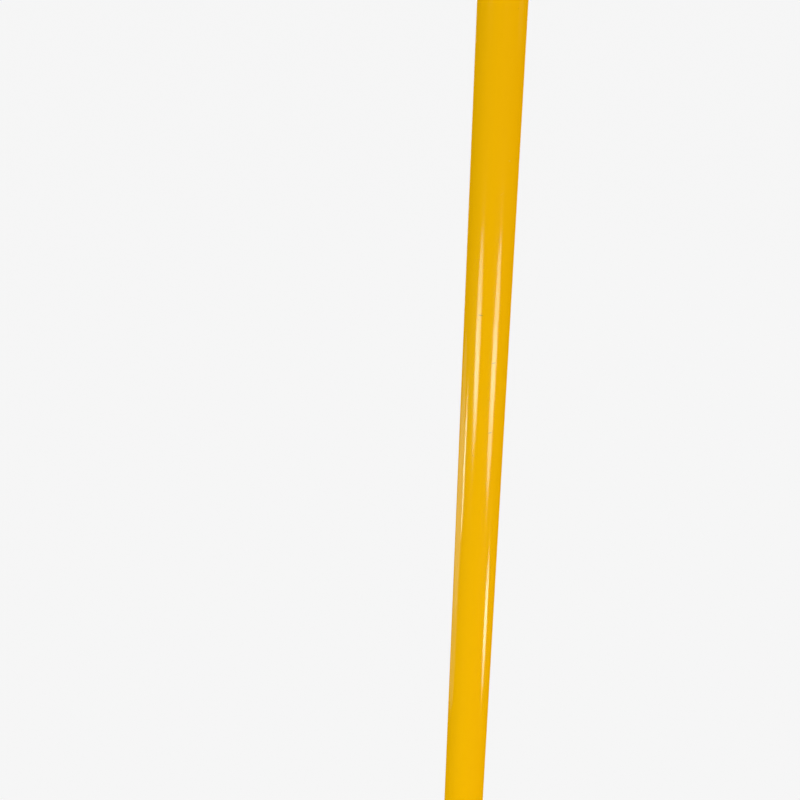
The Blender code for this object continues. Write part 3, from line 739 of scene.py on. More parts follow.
galvanised, tree, shader, where = new_finish("galvanised_plate", Metallic=1.0)
crystals = place(tree, "TexVoronoi", {"Vector": where, "Scale": 170.0, "Randomness": 0.9})
number = place(tree, "SeparateColor", {"Color": crystals.outputs["Color"]}).outputs
feather = place(tree, "TexNoise", {"Vector": where, "Scale": 700.0, "Detail": 4.0})
shade = calc(tree, "ADD", calc(tree, "MULTIPLY", number[0], 0.7),
             calc(tree, "MULTIPLY", feather.outputs["Fac"], 0.3))
frosted = blend_colours(tree, shade, CRYSTAL_DARK, CRYSTAL_PALE)
scraped = use(tree, scratches, Place=where, Density=70.0, Width=0.006, Share=0.45)
edges = use(tree, wear, Place=where, Amount=0.8)
bare = calc(tree, "MAXIMUM", edges, calc(tree, "MULTIPLY", scraped, 0.5))
frosted = blend_colours(tree, bare, frosted, SCRAPED_ZINC)
relief = calc(tree, "ADD", calc(tree, "MULTIPLY", number[2], 0.5), feather.outputs["Fac"])
finish_with(tree, shader, frosted, spread(tree, number[1], 0.32, 0.52), relief, 0.015 * MM)

# %% [markdown]
# The grub screws are blackened in a hot bath. Dark paint would be simpler to mix, but the oxide
# is so thin that the steel's own gloss comes through. So this stays a metal: nearly black,
# mottled by the bath, and rubbed grey along its edges.

# %% Black oxide finish
OXIDE_BLACK, OXIDE_GREY = (0.022, 0.022, 0.024), (0.05, 0.05, 0.053)
OXIDE_WORN = (0.22, 0.22, 0.23)

black_oxide, tree, shader, where = new_finish("dark_fasteners", Metallic=0.85)
mottle = place(tree, "TexNoise", {"Vector": where, "Scale": 800.0, "Detail": 3.0})
edges = use(tree, wear, Place=where, Amount=1.0)
oxide = blend_colours(tree, mottle.outputs["Fac"], OXIDE_BLACK, OXIDE_GREY)
oxide = blend_colours(tree, edges, oxide, OXIDE_WORN)
finish_with(tree, shader, oxide, spread(tree, mottle.outputs["Fac"], 0.30, 0.48),
            mottle.outputs["Fac"], 0.01 * MM)


# %% [markdown]
# ## The workbench
# Every new piece goes through the same few steps, so they are helpers. A piece is turned by
# extruding a circle from one ring to the next, as a lathe would shape a bar. Then it is
# drilled or cut, its edges are broken, and it is handed over to the body that carries it.

# %% Pick up and turn a piece
def pick(piece):
    """Select this piece alone and make it the active one."""
    bpy.ops.object.select_all(action="DESELECT")
    piece.select_set(True)
    bpy.context.view_layer.objects.active = piece


def open_mesh(piece):
    """Go into a piece's mesh, with all of it selected."""
    pick(piece)
    bpy.ops.object.mode_set(mode="EDIT")
    bpy.ops.mesh.select_all(action="SELECT")


def close_mesh():
    """Come back out of the mesh."""
    bpy.ops.object.mode_set(mode="OBJECT")


def settle(piece):
    """Move a piece's place, turn and size into its mesh."""
    pick(piece)
    bpy.ops.object.transform_apply(location=True, rotation=True, scale=True)
    return piece


def arc(centre, across, up, start, end, steps):
    """Points on an elliptical arc in the (radius, height) plane, both ends included."""
    angles = [start + (end - start) * n / steps for n in range(steps + 1)]
    return [(centre[0] + across * cos(a), centre[1] + up * sin(a)) for a in angles]


def turn_on_lathe(name, outline, sides=96, ring=False):
    """Extrude a circle along an outline of (radius, height) points.

    A bar has both its ends filled, and a last radius of 0 brings them to a point.
    A ring's last wall comes back to its first circle.
    """
    bpy.ops.object.select_all(action="DESELECT")
    radius, height = outline[0]
    bpy.ops.mesh.primitive_circle_add(
        vertices=sides, radius=radius, location=(0, 0, height),
        fill_type="NOTHING" if ring else "NGON")
    piece = bpy.context.object
    piece.name = name
    open_mesh(piece)
    for next_radius, next_height in outline[1:] + (outline[:1] if ring else []):
        rise = (0, 0, next_height - height)
        bpy.ops.mesh.extrude_region_move(TRANSFORM_OT_translate={"value": rise})
        if next_radius == 0:
            bpy.ops.mesh.merge(type="CENTER")
            break
        growth = next_radius / radius
        bpy.ops.transform.resize(value=(growth, growth, 1))
        radius, height = next_radius, next_height
    bpy.ops.mesh.select_all(action="SELECT")
    bpy.ops.mesh.remove_doubles(threshold=SAME_POINT)
    bpy.ops.mesh.normals_make_consistent(inside=False)
    close_mesh()
    return settle(piece)


# %% Cut, join and finish a piece
SHARP = radians(32)           # an edge that turns more than this keeps its crease
BROKEN = radians(38)          # and one that turns more than this is rounded by break_edges


def apply_step(piece, step):
    """Make a modifier permanent."""
    pick(piece)
    bpy.ops.object.modifier_apply(modifier=step.name)


def work(piece, tool, operation="DIFFERENCE"):
    """Cut a tool's shape out of a piece, or join it on, and put the tool away."""
    step = piece.modifiers.new(tool.name, "BOOLEAN")
    step.operation = operation
    step.object = tool
    apply_step(piece, step)
    bpy.data.objects.remove(tool)


def rod(sides, radius, low, high):
    """A drill or a bar along Z, from one height to the other."""
    bpy.ops.object.select_all(action="DESELECT")
    bpy.ops.mesh.primitive_cylinder_add(
        vertices=sides, radius=radius, depth=high - low, location=(0, 0, (low + high) / 2))
    return settle(bpy.context.object)


def lay_on_spoke(piece, turn, distance, height):
    """Lay a piece made along Z on a spoke at this turn, its own Z pointing outwards."""
    piece.rotation_euler = (0, pi / 2, turn)
    piece.location = (distance * cos(turn), distance * sin(turn), height)
    return settle(piece)


def break_edges(piece, width):
    """Round every sharp edge a little."""
    step = piece.modifiers.new("broken_edges", "BEVEL")
    step.width = width
    step.segments = 2
    step.limit_method = "ANGLE"
    step.angle_limit = BROKEN
    apply_step(piece, step)


def file_flat(piece, on_face, outward):
    """Cut off all that lies beyond a flat face."""
    open_mesh(piece)
    bpy.ops.mesh.bisect(plane_co=on_face, plane_no=outward, use_fill=True, clear_outer=True)
    close_mesh()


def block(size, middle, turn=0.0, lean=0.0):
    """A box of this size round its middle, leaning about X and then turned about Z."""
    bpy.ops.object.select_all(action="DESELECT")
    bpy.ops.mesh.primitive_cube_add(size=1, location=middle, rotation=(lean, 0, turn))
    made = bpy.context.object
    made.scale = size
    return settle(made)


def paint(piece, look, sharp=SHARP):
    """Shade a piece smooth up to its sharp edges, and give it its material."""
    pick(piece)
    bpy.ops.object.shade_smooth_by_angle(angle=sharp)
    piece.data.materials.clear()
    piece.data.materials.append(look)


def hand_over(piece, body, look, node):
    """Give a finished piece its material and fix it to the body that carries it."""
    paint(piece, look)
    step = piece.modifiers.new("even_shading", "WEIGHTED_NORMAL")
    step.keep_sharp = True
    apply_step(piece, step)
    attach(piece, body)
    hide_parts(node)
    print(piece.name, "has", len(piece.data.polygons), "faces")


# %% [markdown]
# ## Threads
# A real thread is a ridge wound round a core. A small tooth is drawn once, beside the bar, and
# the Screw modifier winds it up the bar by one pitch in each turn. Its two ends are closed, and
# then it is joined to the core.

# %% Wind a thread
THREAD_STEPS = 36             # in each turn
THREAD_DEPTH = 1.07 * MM      # crest to root
CORE_RADIUS = THREAD_RADIUS - THREAD_DEPTH
TOOTH_FOOT = 0.44 * THREAD_PITCH      # half the tooth's height at the core
TOOTH_CREST = 0.07 * THREAD_PITCH     # and at its crest
TOOTH_SUNK = 0.3 * MM         # how deep it stands in the core


def wind_thread(bar, low, high):
    """Wind a ridge round a bar's core, between two heights."""
    sunk = CORE_RADIUS - TOOTH_SUNK
    bpy.ops.object.select_all(action="DESELECT")
    bpy.ops.mesh.primitive_plane_add(size=1)
    ridge = bpy.context.object
    ridge.name = "thread"
    corners = [(sunk, -TOOTH_FOOT), (THREAD_RADIUS, -TOOTH_CREST),
               (sunk, TOOTH_FOOT), (THREAD_RADIUS, TOOTH_CREST)]
    for vertex, (out, up) in zip(ridge.data.vertices, corners):
        vertex.co = (out, 0, low + TOOTH_FOOT + up)
    step = ridge.modifiers.new("wind", "SCREW")
    step.axis = "Z"
    step.screw_offset = THREAD_PITCH
    step.iterations = int((high - low) / THREAD_PITCH) - 1
    step.steps = step.render_steps = THREAD_STEPS
    apply_step(ridge, step)
    open_mesh(ridge)
    bpy.ops.mesh.fill_holes(sides=4)
    bpy.ops.mesh.normals_make_consistent(inside=False)
    close_mesh()
    work(bar, ridge, "UNION")


# %% [markdown]
# ## The tube
# A plain tube is a ring turned on the lathe, but with extra circles above and below the screw
# holes. Drilling upsets the shading of the faces it touches, and those circles keep that to a
# short stretch, instead of streaks along the whole tube.

# %% Turn and drill the tube
TUBE_SIDES = 192
EDGE_BREAK = 0.35 * MM
HOLE_MARGIN = 6 * MM
DRILL_REACH = 4 * MM

low, high = tube_low.z, tube_high.z
around_holes = [SCREW_HEIGHT - HOLE_MARGIN, SCREW_HEIGHT + HOLE_MARGIN]
outline = [(TUBE_RADIUS, low)] + [(TUBE_RADIUS, level) for level in around_holes]
outline += [(TUBE_RADIUS, high), (BORE_RADIUS, high)]
outline += [(BORE_RADIUS, level) for level in reversed(around_holes)]
outline += [(BORE_RADIUS, low)]
tube = turn_on_lathe("tube", outline, TUBE_SIDES, ring=True)
screw_turns = [n * tau / SCREW_COUNT for n in range(SCREW_COUNT)]
for turn in screw_turns:
    drill = rod(32, SCREW_HOLE_RADIUS, -DRILL_REACH, DRILL_REACH)
    work(tube, lay_on_spoke(drill, turn, TUBE_RADIUS, SCREW_HEIGHT))
break_edges(tube, EDGE_BREAK)
hand_over(tube, "pole", yellow_pvc, "pole_tube")

# %% [markdown]
# ## The cap
# The cap has a low dome, so that nobody is hurt by falling on it, and a slotted skirt with
# small barbs that springs into the tube. A squashed sphere could make the dome, but one outline
# gives the dome, the skirt and the barbs at once. It starts under the dome, goes down inside
# the skirt, comes up the barbs and ends over the dome.

# %% Turn and slot the cap
CAP_RIM = 3 * MM
CAP_SKIN = 2.4 * MM
CAP_SKIRT_LENGTH = 30 * MM
CAP_SKIRT_WALL = 2 * MM
CAP_BARB = 0.5 * MM           # how far a barb stands out
CAP_BARB_SLOPE = 3 * CAP_BARB
CAP_BARBS = 3
CAP_BARB_SPACING = 7 * MM
CAP_SLOT_WIDTH = 3 * MM
CAP_SLOT_LENGTH = 21 * MM
CAP_SHOULDER = 1.2 * MM       # rounding under the rim

seat = tube_high.z
dome = cap_high.z - seat - CAP_RIM
skirt = BORE_RADIUS - FIT_GAP - CAP_BARB
inside = skirt - CAP_SKIRT_WALL
foot = seat - CAP_SKIRT_LENGTH
ceiling = dome + CAP_RIM - CAP_SKIN
outline = arc((0, seat), inside, ceiling, radians(85), 0, steps=10)
outline += [(inside, foot), (skirt - CAP_BARB, foot), (skirt, foot + 2 * CAP_BARB)]
for n in range(CAP_BARBS):
    base = foot + (n + 0.5) * CAP_BARB_SPACING
    outline += [(skirt, base), (skirt + CAP_BARB, base + CAP_BARB_SLOPE),
                (skirt, base + CAP_BARB_SLOPE + CAP_BARB / 2)]
outline += [(skirt, seat + FIT_GAP), (TUBE_RADIUS - CAP_SHOULDER, seat + FIT_GAP)]
outline += arc((TUBE_RADIUS - CAP_SHOULDER, seat + FIT_GAP + CAP_SHOULDER), CAP_SHOULDER,
               CAP_SHOULDER, -pi / 2, 0, steps=4)[1:]
outline += arc((0, seat + CAP_RIM), TUBE_RADIUS, dome, 0, pi / 2, steps=16)[:-1]
outline += [(0, cap_high.z)]
cap = turn_on_lathe("domed_cap", outline, sides=128)
for turn in (pi / 4, 3 * pi / 4):
    work(cap, block((2 * TUBE_RADIUS, CAP_SLOT_WIDTH, 2 * CAP_SLOT_LENGTH), (0, 0, foot), turn))
hand_over(cap, "pole", yellow_cap, "top_cap")

# %% [markdown]
# ## The plug in the tube's foot
# The plug is moulded in one piece: a flange that carries the tube, a skirt inside it, a well
# for the bolt, and webs between the two. Three of the webs are thick, because the screws bite
# into them. All that is round comes from one outline, and the webs are blocks joined to it.

# %% Mould the plug
PLUG_FLANGE = 6 * MM
PLUG_EDGE = 0.8 * MM
PLUG_SKIRT_LENGTH = 60 * MM
PLUG_SKIRT_WALL = 3.2 * MM
PLUG_LEAD = 1.5 * MM          # the skirt's end tapers, to start into the tube
PLUG_FLOOR = 12 * MM
WELL_RADIUS = THREAD_HOLE_RADIUS + 7.1 * MM   # room for a socket spanner
WELL_WALL = 2.4 * MM
WELL_HEIGHT = 46 * MM
WEB_SUNK = 2 * MM
RIB_WIDTH = 2.4 * MM
BOSS_WIDTH = 9 * MM
SCREW_LENGTH = 11 * MM

base = plug_low.z
skirt = BORE_RADIUS - FIT_GAP
skirt_inside = skirt - PLUG_SKIRT_WALL
skirt_top = base + PLUG_FLANGE + PLUG_SKIRT_LENGTH
well_top = base + PLUG_FLOOR + WELL_HEIGHT
outline = [
    (THREAD_HOLE_RADIUS, base), (TUBE_RADIUS - PLUG_EDGE, base), (TUBE_RADIUS, base + PLUG_EDGE),
    (TUBE_RADIUS, base + PLUG_FLANGE), (skirt, base + PLUG_FLANGE),
    (skirt, skirt_top - PLUG_LEAD), (skirt - PLUG_LEAD / 2, skirt_top),
    (skirt_inside, skirt_top), (skirt_inside, base + PLUG_FLOOR),
    (WELL_RADIUS + WELL_WALL, base + PLUG_FLOOR), (WELL_RADIUS + WELL_WALL, well_top),
    (WELL_RADIUS, well_top), (WELL_RADIUS, base + PLUG_FLOOR),
    (THREAD_HOLE_RADIUS, base + PLUG_FLOOR),
]
plug = turn_on_lathe("moulded_plug", outline, sides=144, ring=True)
inner, outer = WELL_RADIUS + WELL_WALL / 2, skirt_inside + PLUG_SKIRT_WALL / 2
web_low, web_high = base + PLUG_FLOOR - MM, well_top - WEB_SUNK
for n in range(2 * SCREW_COUNT):
    turn = n * pi / SCREW_COUNT
    reach = (inner + outer) / 2
    size = (outer - inner, RIB_WIDTH if n % 2 else BOSS_WIDTH, web_high - web_low)
    middle = (reach * cos(turn), reach * sin(turn), (web_low + web_high) / 2)
    work(plug, block(size, middle, turn), "UNION")
for turn in screw_turns:
    pilot = rod(32, SCREW_HOLE_RADIUS, 0, SCREW_LENGTH + 2 * FIT_GAP)
    work(plug, lay_on_spoke(pilot, turn, TUBE_RADIUS - SCREW_LENGTH, SCREW_HEIGHT))
break_edges(plug, width=0.25 * MM)
hand_over(plug, "pole", black_nylon, "base_plug")

# %% [markdown]
# ## The screws
# A pan head is a low dome on a short wall. Its cross recess is two crossed slots, each
# narrower at its bottom, like the driver that turns it. The slots are cut before the screw is
# laid on its spoke, while its head still points straight up.

# %% Turn the three screws
HEAD_RADIUS = 4 * MM
HEAD_HEIGHT = 2.6 * MM
SCREW_TIP = 0.2 * MM
SCREW_POINT = 3 * MM
RECESS_LENGTH = 4.2 * MM
RECESS_WIDTH = 1.0 * MM
RECESS_DEPTH = 1.5 * MM
RECESS_TAPER = 0.45           # how much of the recess's size is left at its bottom


def recess_slot(turn):
    """A slot that narrows from the top of the head to the bottom of the recess."""
    slot = block((RECESS_LENGTH, RECESS_WIDTH, 2 * RECESS_DEPTH), (0, 0, HEAD_HEIGHT), turn)
    open_mesh(slot)
    bpy.ops.mesh.bisect(plane_co=(0, 0, HEAD_HEIGHT), plane_no=(0, 0, 1))
    close_mesh()
    for vertex in slot.data.vertices:
        if vertex.co.z < HEAD_HEIGHT - RECESS_DEPTH / 2:
            vertex.co.x *= RECESS_TAPER
            vertex.co.y *= RECESS_TAPER
    return slot


for number, turn in enumerate(screw_turns, 1):
    wall = HEAD_HEIGHT / 3
    outline = [(SCREW_TIP, -SCREW_LENGTH), (SCREW_RADIUS, SCREW_POINT - SCREW_LENGTH),
               (SCREW_RADIUS, 0), (HEAD_RADIUS, 0)]
    outline += arc((0, wall), HEAD_RADIUS, HEAD_HEIGHT - wall, 0, pi / 2, steps=10)[:-1]
    outline += [(0, HEAD_HEIGHT)]
    screw = turn_on_lathe(f"pan_head_screw_{number}", outline, sides=48)
    for slot_turn in (pi / 4, 3 * pi / 4):
        work(screw, recess_slot(slot_turn))
    break_edges(screw, width=0.08 * MM)
    lay_on_spoke(screw, turn, TUBE_RADIUS + FIT_GAP, SCREW_HEIGHT)
    hand_over(screw, "pole", zinc_steel, f"plug_screw_{number}")

# %% [markdown]
# ## The bolt and its washer
# A bolt's six top corners are turned off at a slant, which leaves a curved edge on each flat.
# Cutting those corners one by one would be slow. The head is what a plain hexagon and a bar
# with a slanted top have in common, and that gives all six curves in one cut.

# %% Make the bolt
washer_low, washer_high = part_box("plug_bolt_washer")
bolt_low, bolt_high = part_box("plug_bolt")
HEX_WIDTH = 18 * MM
HEX_HEIGHT = 7.5 * MM
HEX_TOP_SHARE = 0.95          # the flat circle on top, as a share of the hexagon's width
HEX_SLANT = 0.5               # how far its corners fall for each step outwards
BOLT_POINT = 1 * MM
BOLT_RUNOUT = 2 * MM          # bare length between the thread and the washer
PROUD = 0.01 * MM             # so that two faces don't lie in one plane

head_base = bolt_high.z - HEX_HEIGHT
corner = HEX_WIDTH / sqrt(3)
hexagon = rod(6, corner, head_base, bolt_high.z)
top_circle = HEX_WIDTH / 2 * HEX_TOP_SHARE
bar_radius = corner + MM
bar = turn_on_lathe("turned_head", [
    (bar_radius, head_base - MM), (bar_radius, bolt_high.z - (bar_radius - top_circle) * HEX_SLANT),
    (top_circle, bolt_high.z + PROUD)])
work(hexagon, bar, "INTERSECT")
thread_end = washer_low.z - BOLT_RUNOUT
bolt = turn_on_lathe("hexagon_bolt", [
    (CORE_RADIUS - BOLT_POINT, bolt_low.z), (CORE_RADIUS, bolt_low.z + BOLT_POINT),
    (CORE_RADIUS, thread_end), (THREAD_RADIUS, washer_low.z - BOLT_RUNOUT / 2),
    (THREAD_RADIUS, head_base + HEX_HEIGHT / 2)], sides=64)
wind_thread(bolt, bolt_low.z + BOLT_POINT, thread_end)
work(bolt, hexagon, "UNION")
hand_over(bolt, "pole", zinc_steel, "plug_bolt")

washer = turn_on_lathe("flat_washer", [
    (THREAD_HOLE_RADIUS, washer_low.z), (washer_high.x, washer_low.z),
    (washer_high.x, washer_high.z), (THREAD_HOLE_RADIUS, washer_high.z)], ring=True)
break_edges(washer, width=0.3 * MM)
hand_over(washer, "pole", zinc_steel, "plug_bolt_washer")

# %% [markdown]
# ## The two spring hubs
# Each hub is one turned piece: a thick flange with two spanner flats, and a barrel that the
# spring's end turns grip. A socket in the flange takes the wire's straight tang, and a grub
# screw comes in from the rim to lock it. The upper hub is the lower one standing on its head,
# turned to where the wire comes out.

# %% Turn the hubs
HUB_RADIUS = hub_high.x
HUB_FLAT = hub_high.y
HUB_EDGE = 1 * MM
HUB_FILLET = 1 * MM
HUB_NOSE = 3 * MM
HUB_NOSE_SHRINK = 1.6 * MM
HUB_BARREL_RADIUS = 10.97 * MM
HUB_BARREL_LENGTH = hub_high.z - LOWER_FLANGE_FACE
COIL_RADIUS = 15 * MM
WIRE_RADIUS = 3 * MM
SOCKET_RADIUS = WIRE_RADIUS + FIT_GAP
TANG_DEPTH = 8 * MM
GRUB_RADIUS = 2.5 * MM


def make_hub(name):
    """A hub whose barrel points up from its flange's spring side, which is at z = 0."""
    foot = -HUB_FLANGE_THICKNESS
    nose = HUB_BARREL_RADIUS - HUB_NOSE_SHRINK
    outline = [(HUB_RADIUS - HUB_EDGE, foot), (HUB_RADIUS, foot + HUB_EDGE),
               (HUB_RADIUS, -HUB_EDGE), (HUB_RADIUS - HUB_EDGE, 0)]
    outline += arc((HUB_BARREL_RADIUS + HUB_FILLET, HUB_FILLET), HUB_FILLET, HUB_FILLET,
                   -pi / 2, -pi, steps=5)
    outline += [(HUB_BARREL_RADIUS, HUB_BARREL_LENGTH - HUB_NOSE), (nose, HUB_BARREL_LENGTH)]
    hub = turn_on_lathe(name, outline)
    for side in (-1, 1):
        file_flat(hub, (0, side * HUB_FLAT, 0), (0, side, 0))
    work(hub, rod(64, THREAD_HOLE_RADIUS, foot - MM, foot + THREAD_ENGAGEMENT + MM))
    socket = rod(48, SOCKET_RADIUS, -TANG_DEPTH - FIT_GAP, MM)
    socket.location.x = COIL_RADIUS
    work(hub, socket)
    grub_hole = rod(32, GRUB_RADIUS + FIT_GAP, 0, HUB_RADIUS - COIL_RADIUS + MM)
    work(hub, lay_on_spoke(grub_hole, 0, COIL_RADIUS, -TANG_DEPTH / 2))
    break_edges(hub, width=0.2 * MM)
    return hub


lower_hub = make_hub("lower_hub")
lower_hub.location.z = LOWER_FLANGE_FACE
settle(lower_hub)
hand_over(lower_hub, "base", zinc_steel, "lower_spring_hub")

# %% [markdown]
# ## The wire's path
# The spring is drawn unrolled, as a line on a flat sheet: straight up out of the socket, round
# a tight bend, along the slope of the curls, and the same again at the far end. Rolled round
# the coil's cylinder, that line is the middle of the wire. The last point gives the turn of
# the upper hub.

# %% Draw the wire's path
COIL_PITCH = 8.3 * MM
TANG_STAND = 1 * MM
BEND_RADIUS = 7 * MM
BEND_STEPS = 16
POINTS_PER_TURN = 48

slope = atan(COIL_PITCH / (tau * COIL_RADIUS))
coil_start = LOWER_FLANGE_FACE + TANG_STAND + BEND_RADIUS * cos(slope)
both_faces = LOWER_FLANGE_FACE + UPPER_FLANGE_FACE
coil_height = both_faces - 2 * coil_start
turns = coil_height / COIL_PITCH
tang = [(0.0, LOWER_FLANGE_FACE - TANG_DEPTH)]
for n in range(BEND_STEPS + 1):
    angle = (pi / 2 - slope) * n / BEND_STEPS
    tang.append((BEND_RADIUS * (1 - cos(angle)),
                 LOWER_FLANGE_FACE + TANG_STAND + BEND_RADIUS * sin(angle)))
coil_from = tang[-1][0]
coil_length = turns * tau * COIL_RADIUS
half_steps = round(turns * POINTS_PER_TURN / 2)
curls = [(coil_from + coil_length * n / (2 * half_steps),
          coil_start + coil_height * n / (2 * half_steps)) for n in range(1, 2 * half_steps)]
whole = 2 * coil_from + coil_length
upper_tang = [(whole - along, both_faces - height) for along, height in reversed(tang)]
unrolled = tang + curls + upper_tang
wire_middle = [Vector((COIL_RADIUS * cos(along / COIL_RADIUS),
                       COIL_RADIUS * sin(along / COIL_RADIUS), height))
               for along, height in unrolled]
last_turn = whole / COIL_RADIUS
print("The wire makes", round(turns, 2), "curls")

# %% [markdown]
# The upper hub is made by the same steps as the lower one and stood on its head. A mirrored copy
# would look alike, but its socket has to face the place where the wire comes out, and a turned
# piece can be set to any angle.

# %% Stand the second hub on its head
upper_hub = make_hub("upper_hub")
upper_hub.rotation_euler = (pi, 0, last_turn)
upper_hub.location.z = UPPER_FLANGE_FACE
settle(upper_hub)
hand_over(upper_hub, "pole", zinc_steel, "upper_spring_hub")

# %% [markdown]
# ## The spring
# The spring bends when the pole tilts at either of its two tilt joints. The wire is made in two
# lengths that meet at the middle, cut square. Every point also carries its place on the wire,
# unbent, so that the draw marks of the finish run along the wire.

# %% Wind the spring
WIRE_SIDES = 20
SPRING_MIDDLE = both_faces / 2
FREE_HALF = 65 * MM           # the stretch of each half that bends


def wind_wire(name, points, run_before):
    """A length of wire along these points, that remembers how far along it each point is."""
    curve = bpy.data.curves.new(name, "CURVE")
    curve.dimensions = "3D"
    curve.bevel_depth = WIRE_RADIUS
    curve.bevel_resolution = (WIRE_SIDES - 4) // 2
    curve.use_fill_caps = True
    line = curve.splines.new("POLY")
    line.points.add(len(points) - 1)
    for point, middle in zip(line.points, points):
        point.co = (*middle, 1)
    wire = bpy.data.objects.new(name, curve)
    bpy.context.scene.collection.objects.link(wire)
    pick(wire)
    bpy.ops.object.convert(target="MESH")
    places = wire.data.attributes.new("wire_place", "FLOAT_VECTOR", "POINT")
    run = run_before
    for n, middle in enumerate(points):
        if n:
            run += (middle - points[n - 1]).length
        for side in range(WIRE_SIDES):
            angle = side * tau / WIRE_SIDES
            places.data[n * WIRE_SIDES + side].vector = (
                WIRE_RADIUS * cos(angle), WIRE_RADIUS * sin(angle), run)
    open_mesh(wire)
    bpy.ops.mesh.remove_doubles(threshold=SAME_POINT)
    close_mesh()
    return wire, run


middle_point = len(wire_middle) // 2
run = 0.0
for name, points, bodies, heights in (
    ("lower_half_spring", wire_middle[:middle_point + 1], ("base", "spring"),
     (SPRING_MIDDLE - FREE_HALF, SPRING_MIDDLE)),
    ("upper_half_spring", wire_middle[middle_point:], ("spring", "pole"),
     (SPRING_MIDDLE, SPRING_MIDDLE + FREE_HALF)),
):
    wire, run = wind_wire(name, points, run)
    paint(wire, spring_steel, radians(50))
    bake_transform(wire)
    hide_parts("coil_spring")
    print(name, "ends", round(run, 3), "m along the wire")

# %% [markdown]
# ## The grub screws
# Each has a chamfered point against the tang, and a hexagon socket for the key, sunk a little
# below the flange's rim. A six-sided rod cuts the socket. Their fine threads are inside the
# hubs, where nobody sees them, so their sides are plain.

# %% Turn the grub screws
GRUB_LENGTH = 5.1 * MM
GRUB_POINT = GRUB_RADIUS / 3
KEY_WIDTH = 2.5 * MM
KEY_DEPTH = 2 * MM

for name, body, turn, height in (
    ("lower_grub", "base", 0.0, LOWER_FLANGE_FACE - TANG_DEPTH / 2),
    ("upper_grub", "pole", last_turn, UPPER_FLANGE_FACE + TANG_DEPTH / 2),
):
    grub = turn_on_lathe(name, [
        (GRUB_RADIUS - GRUB_POINT, 0), (GRUB_RADIUS, GRUB_POINT),
        (GRUB_RADIUS, GRUB_LENGTH - GRUB_POINT / 2),
        (GRUB_RADIUS - GRUB_POINT / 2, GRUB_LENGTH)], sides=48)
    work(grub, rod(6, KEY_WIDTH / sqrt(3), GRUB_LENGTH - KEY_DEPTH, GRUB_LENGTH + MM))
    break_edges(grub, width=0.08 * MM)
    lay_on_spoke(grub, turn, COIL_RADIUS + SOCKET_RADIUS, height)
    hand_over(grub, body, black_oxide, name + "_screw")

# %% [markdown]
# ## The foot
# The tread plate is what a boot pushes on, and it keeps the spike from going in too far. It has
# a rounded rim, and a recess below for the spike's shoulder. It is pressed from sheet on the
# real pole, but it is round all over, so here it comes off the lathe like the rest.

# %% Press the tread plate
PLATE_ROUNDING = 2 * MM
PLATE_EDGE = 0.4 * MM
SHOULDER_RECESS = 2 * MM

rim = plate_high.x
recess = spike_high.x + FIT_GAP
outline = [(recess, plate_low.z), (rim - PLATE_EDGE, plate_low.z), (rim, PLATE_EDGE)]
outline += arc((rim - PLATE_ROUNDING, plate_high.z - PLATE_ROUNDING), PLATE_ROUNDING,
               PLATE_ROUNDING, 0, pi / 2, steps=8)
outline += [(THREAD_HOLE_RADIUS, plate_high.z), (THREAD_HOLE_RADIUS, SHOULDER_RECESS),
            (recess, SHOULDER_RECESS)]
plate = turn_on_lathe("foot_plate", outline, sides=192, ring=True)
break_edges(plate, width=0.2 * MM)
hand_over(plate, "base", galvanised, "tread_plate")

# %% [markdown]
# The split washer keeps the hub from working loose: its two ends lean, and bite when they are
# squeezed. It could be one turn of a coil, but squeezed flat it is a plain ring with a slanting
# slit, so a ring is turned and a leaning block cuts the slit.

# %% Cut the split washer
split_low, split_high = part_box("lower_lock_washer")
SLIT_WIDTH = 1.6 * MM
SLIT_PAST = 1 * MM            # how far the cutter reaches past the washer on each side
SLIT_HEIGHT = 8 * MM
SLIT_LEAN = radians(20)

rim = max(split_high.y, -split_low.x)
split_washer = turn_on_lathe("split_washer", [
    (THREAD_HOLE_RADIUS, split_low.z), (rim, split_low.z), (rim, split_high.z),
    (THREAD_HOLE_RADIUS, split_high.z)], ring=True)
middle = ((THREAD_HOLE_RADIUS + rim) / 2, 0, (split_low.z + split_high.z) / 2)
cutter = (rim - THREAD_HOLE_RADIUS + 2 * SLIT_PAST, SLIT_WIDTH, SLIT_HEIGHT)
work(split_washer, block(cutter, middle, lean=SLIT_LEAN))
break_edges(split_washer, width=0.15 * MM)
hand_over(split_washer, "base", zinc_steel, "lower_lock_washer")

# %% [markdown]
# The spike is one bar: a long point, a plain shank, a shoulder for the plate, and the threaded
# stud that holds the rest. Its whole outline is turned in one go, from the tip upwards, and the
# thread is wound on the stud afterwards.

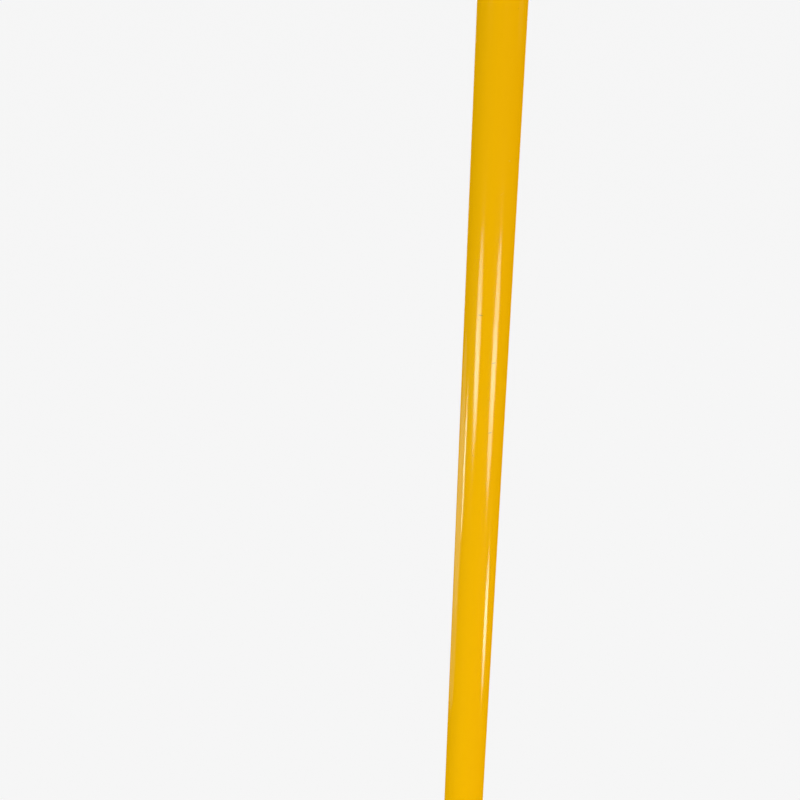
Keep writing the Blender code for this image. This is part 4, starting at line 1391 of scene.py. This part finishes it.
# %% Turn the spike
SPIKE_TIP_RADIUS = 1.5 * MM
SPIKE_POINT_LENGTH = 48 * MM
SHOULDER_HEIGHT = SHOULDER_RECESS - FIT_GAP
SHOULDER_EDGE = 0.4 * MM
STUD_CHAMFER = 1 * MM

shank = spike_high.x
outline = arc((0, spike_low.z + SPIKE_TIP_RADIUS), SPIKE_TIP_RADIUS, SPIKE_TIP_RADIUS,
              radians(-84), radians(-10), steps=8)
outline += [(shank, spike_low.z + SPIKE_POINT_LENGTH), (shank, SHOULDER_HEIGHT - SHOULDER_EDGE),
            (shank - SHOULDER_EDGE, SHOULDER_HEIGHT), (CORE_RADIUS, SHOULDER_HEIGHT),
            (CORE_RADIUS, spike_high.z - STUD_CHAMFER),
            (CORE_RADIUS - STUD_CHAMFER, spike_high.z)]
spike = turn_on_lathe("turned_spike", outline)
wind_thread(spike, SHOULDER_HEIGHT + MM, spike_high.z - STUD_CHAMFER)
hand_over(spike, "base", zinc_steel, "ground_spike")

# %% [markdown]
# ## Which lamps light which pieces
# The highlights' lamps are as bright as the photograph needs, and stand low. On bare steel they
# would burn out the tread plate, so only the yellow pieces see them. The steel has the opposite
# trouble: seen from above it mirrors the dark card. A dim lamp on the floor, which only the
# steel sees, takes the place of the white floor that a studio would have there.

# %% Link the lamps
STEEL_FLOOR_SIZE = 6.0
STEEL_FLOOR_BRIGHTNESS = 1.5


def shine_only_on(lamp, name, pieces):
    """Make these pieces the only ones that a lamp lights."""
    receivers = bpy.data.collections.new(name)
    for piece in pieces:
        receivers.objects.link(piece)
    lamp.light_linking.receiver_collection = receivers


for lamp in highlight_lamps:
    shine_only_on(lamp, lamp.name + "_pieces", (tube, cap))

steel_floor = new_lamp("steel_floor", STEEL_FLOOR_SIZE, STEEL_FLOOR_SIZE, STEEL_FLOOR_BRIGHTNESS)
steel_floor.location.z = floor_height + 2 * CARD_LIFT
steel_floor.rotation_euler.x = pi
steel = [piece for piece in bpy.data.objects if piece.type == "MESH"
         and piece.active_material in (zinc_steel, spring_steel, galvanised)]
shine_only_on(steel_floor, "steel_pieces", steel)
print(len(steel), "steel pieces see the pale floor")
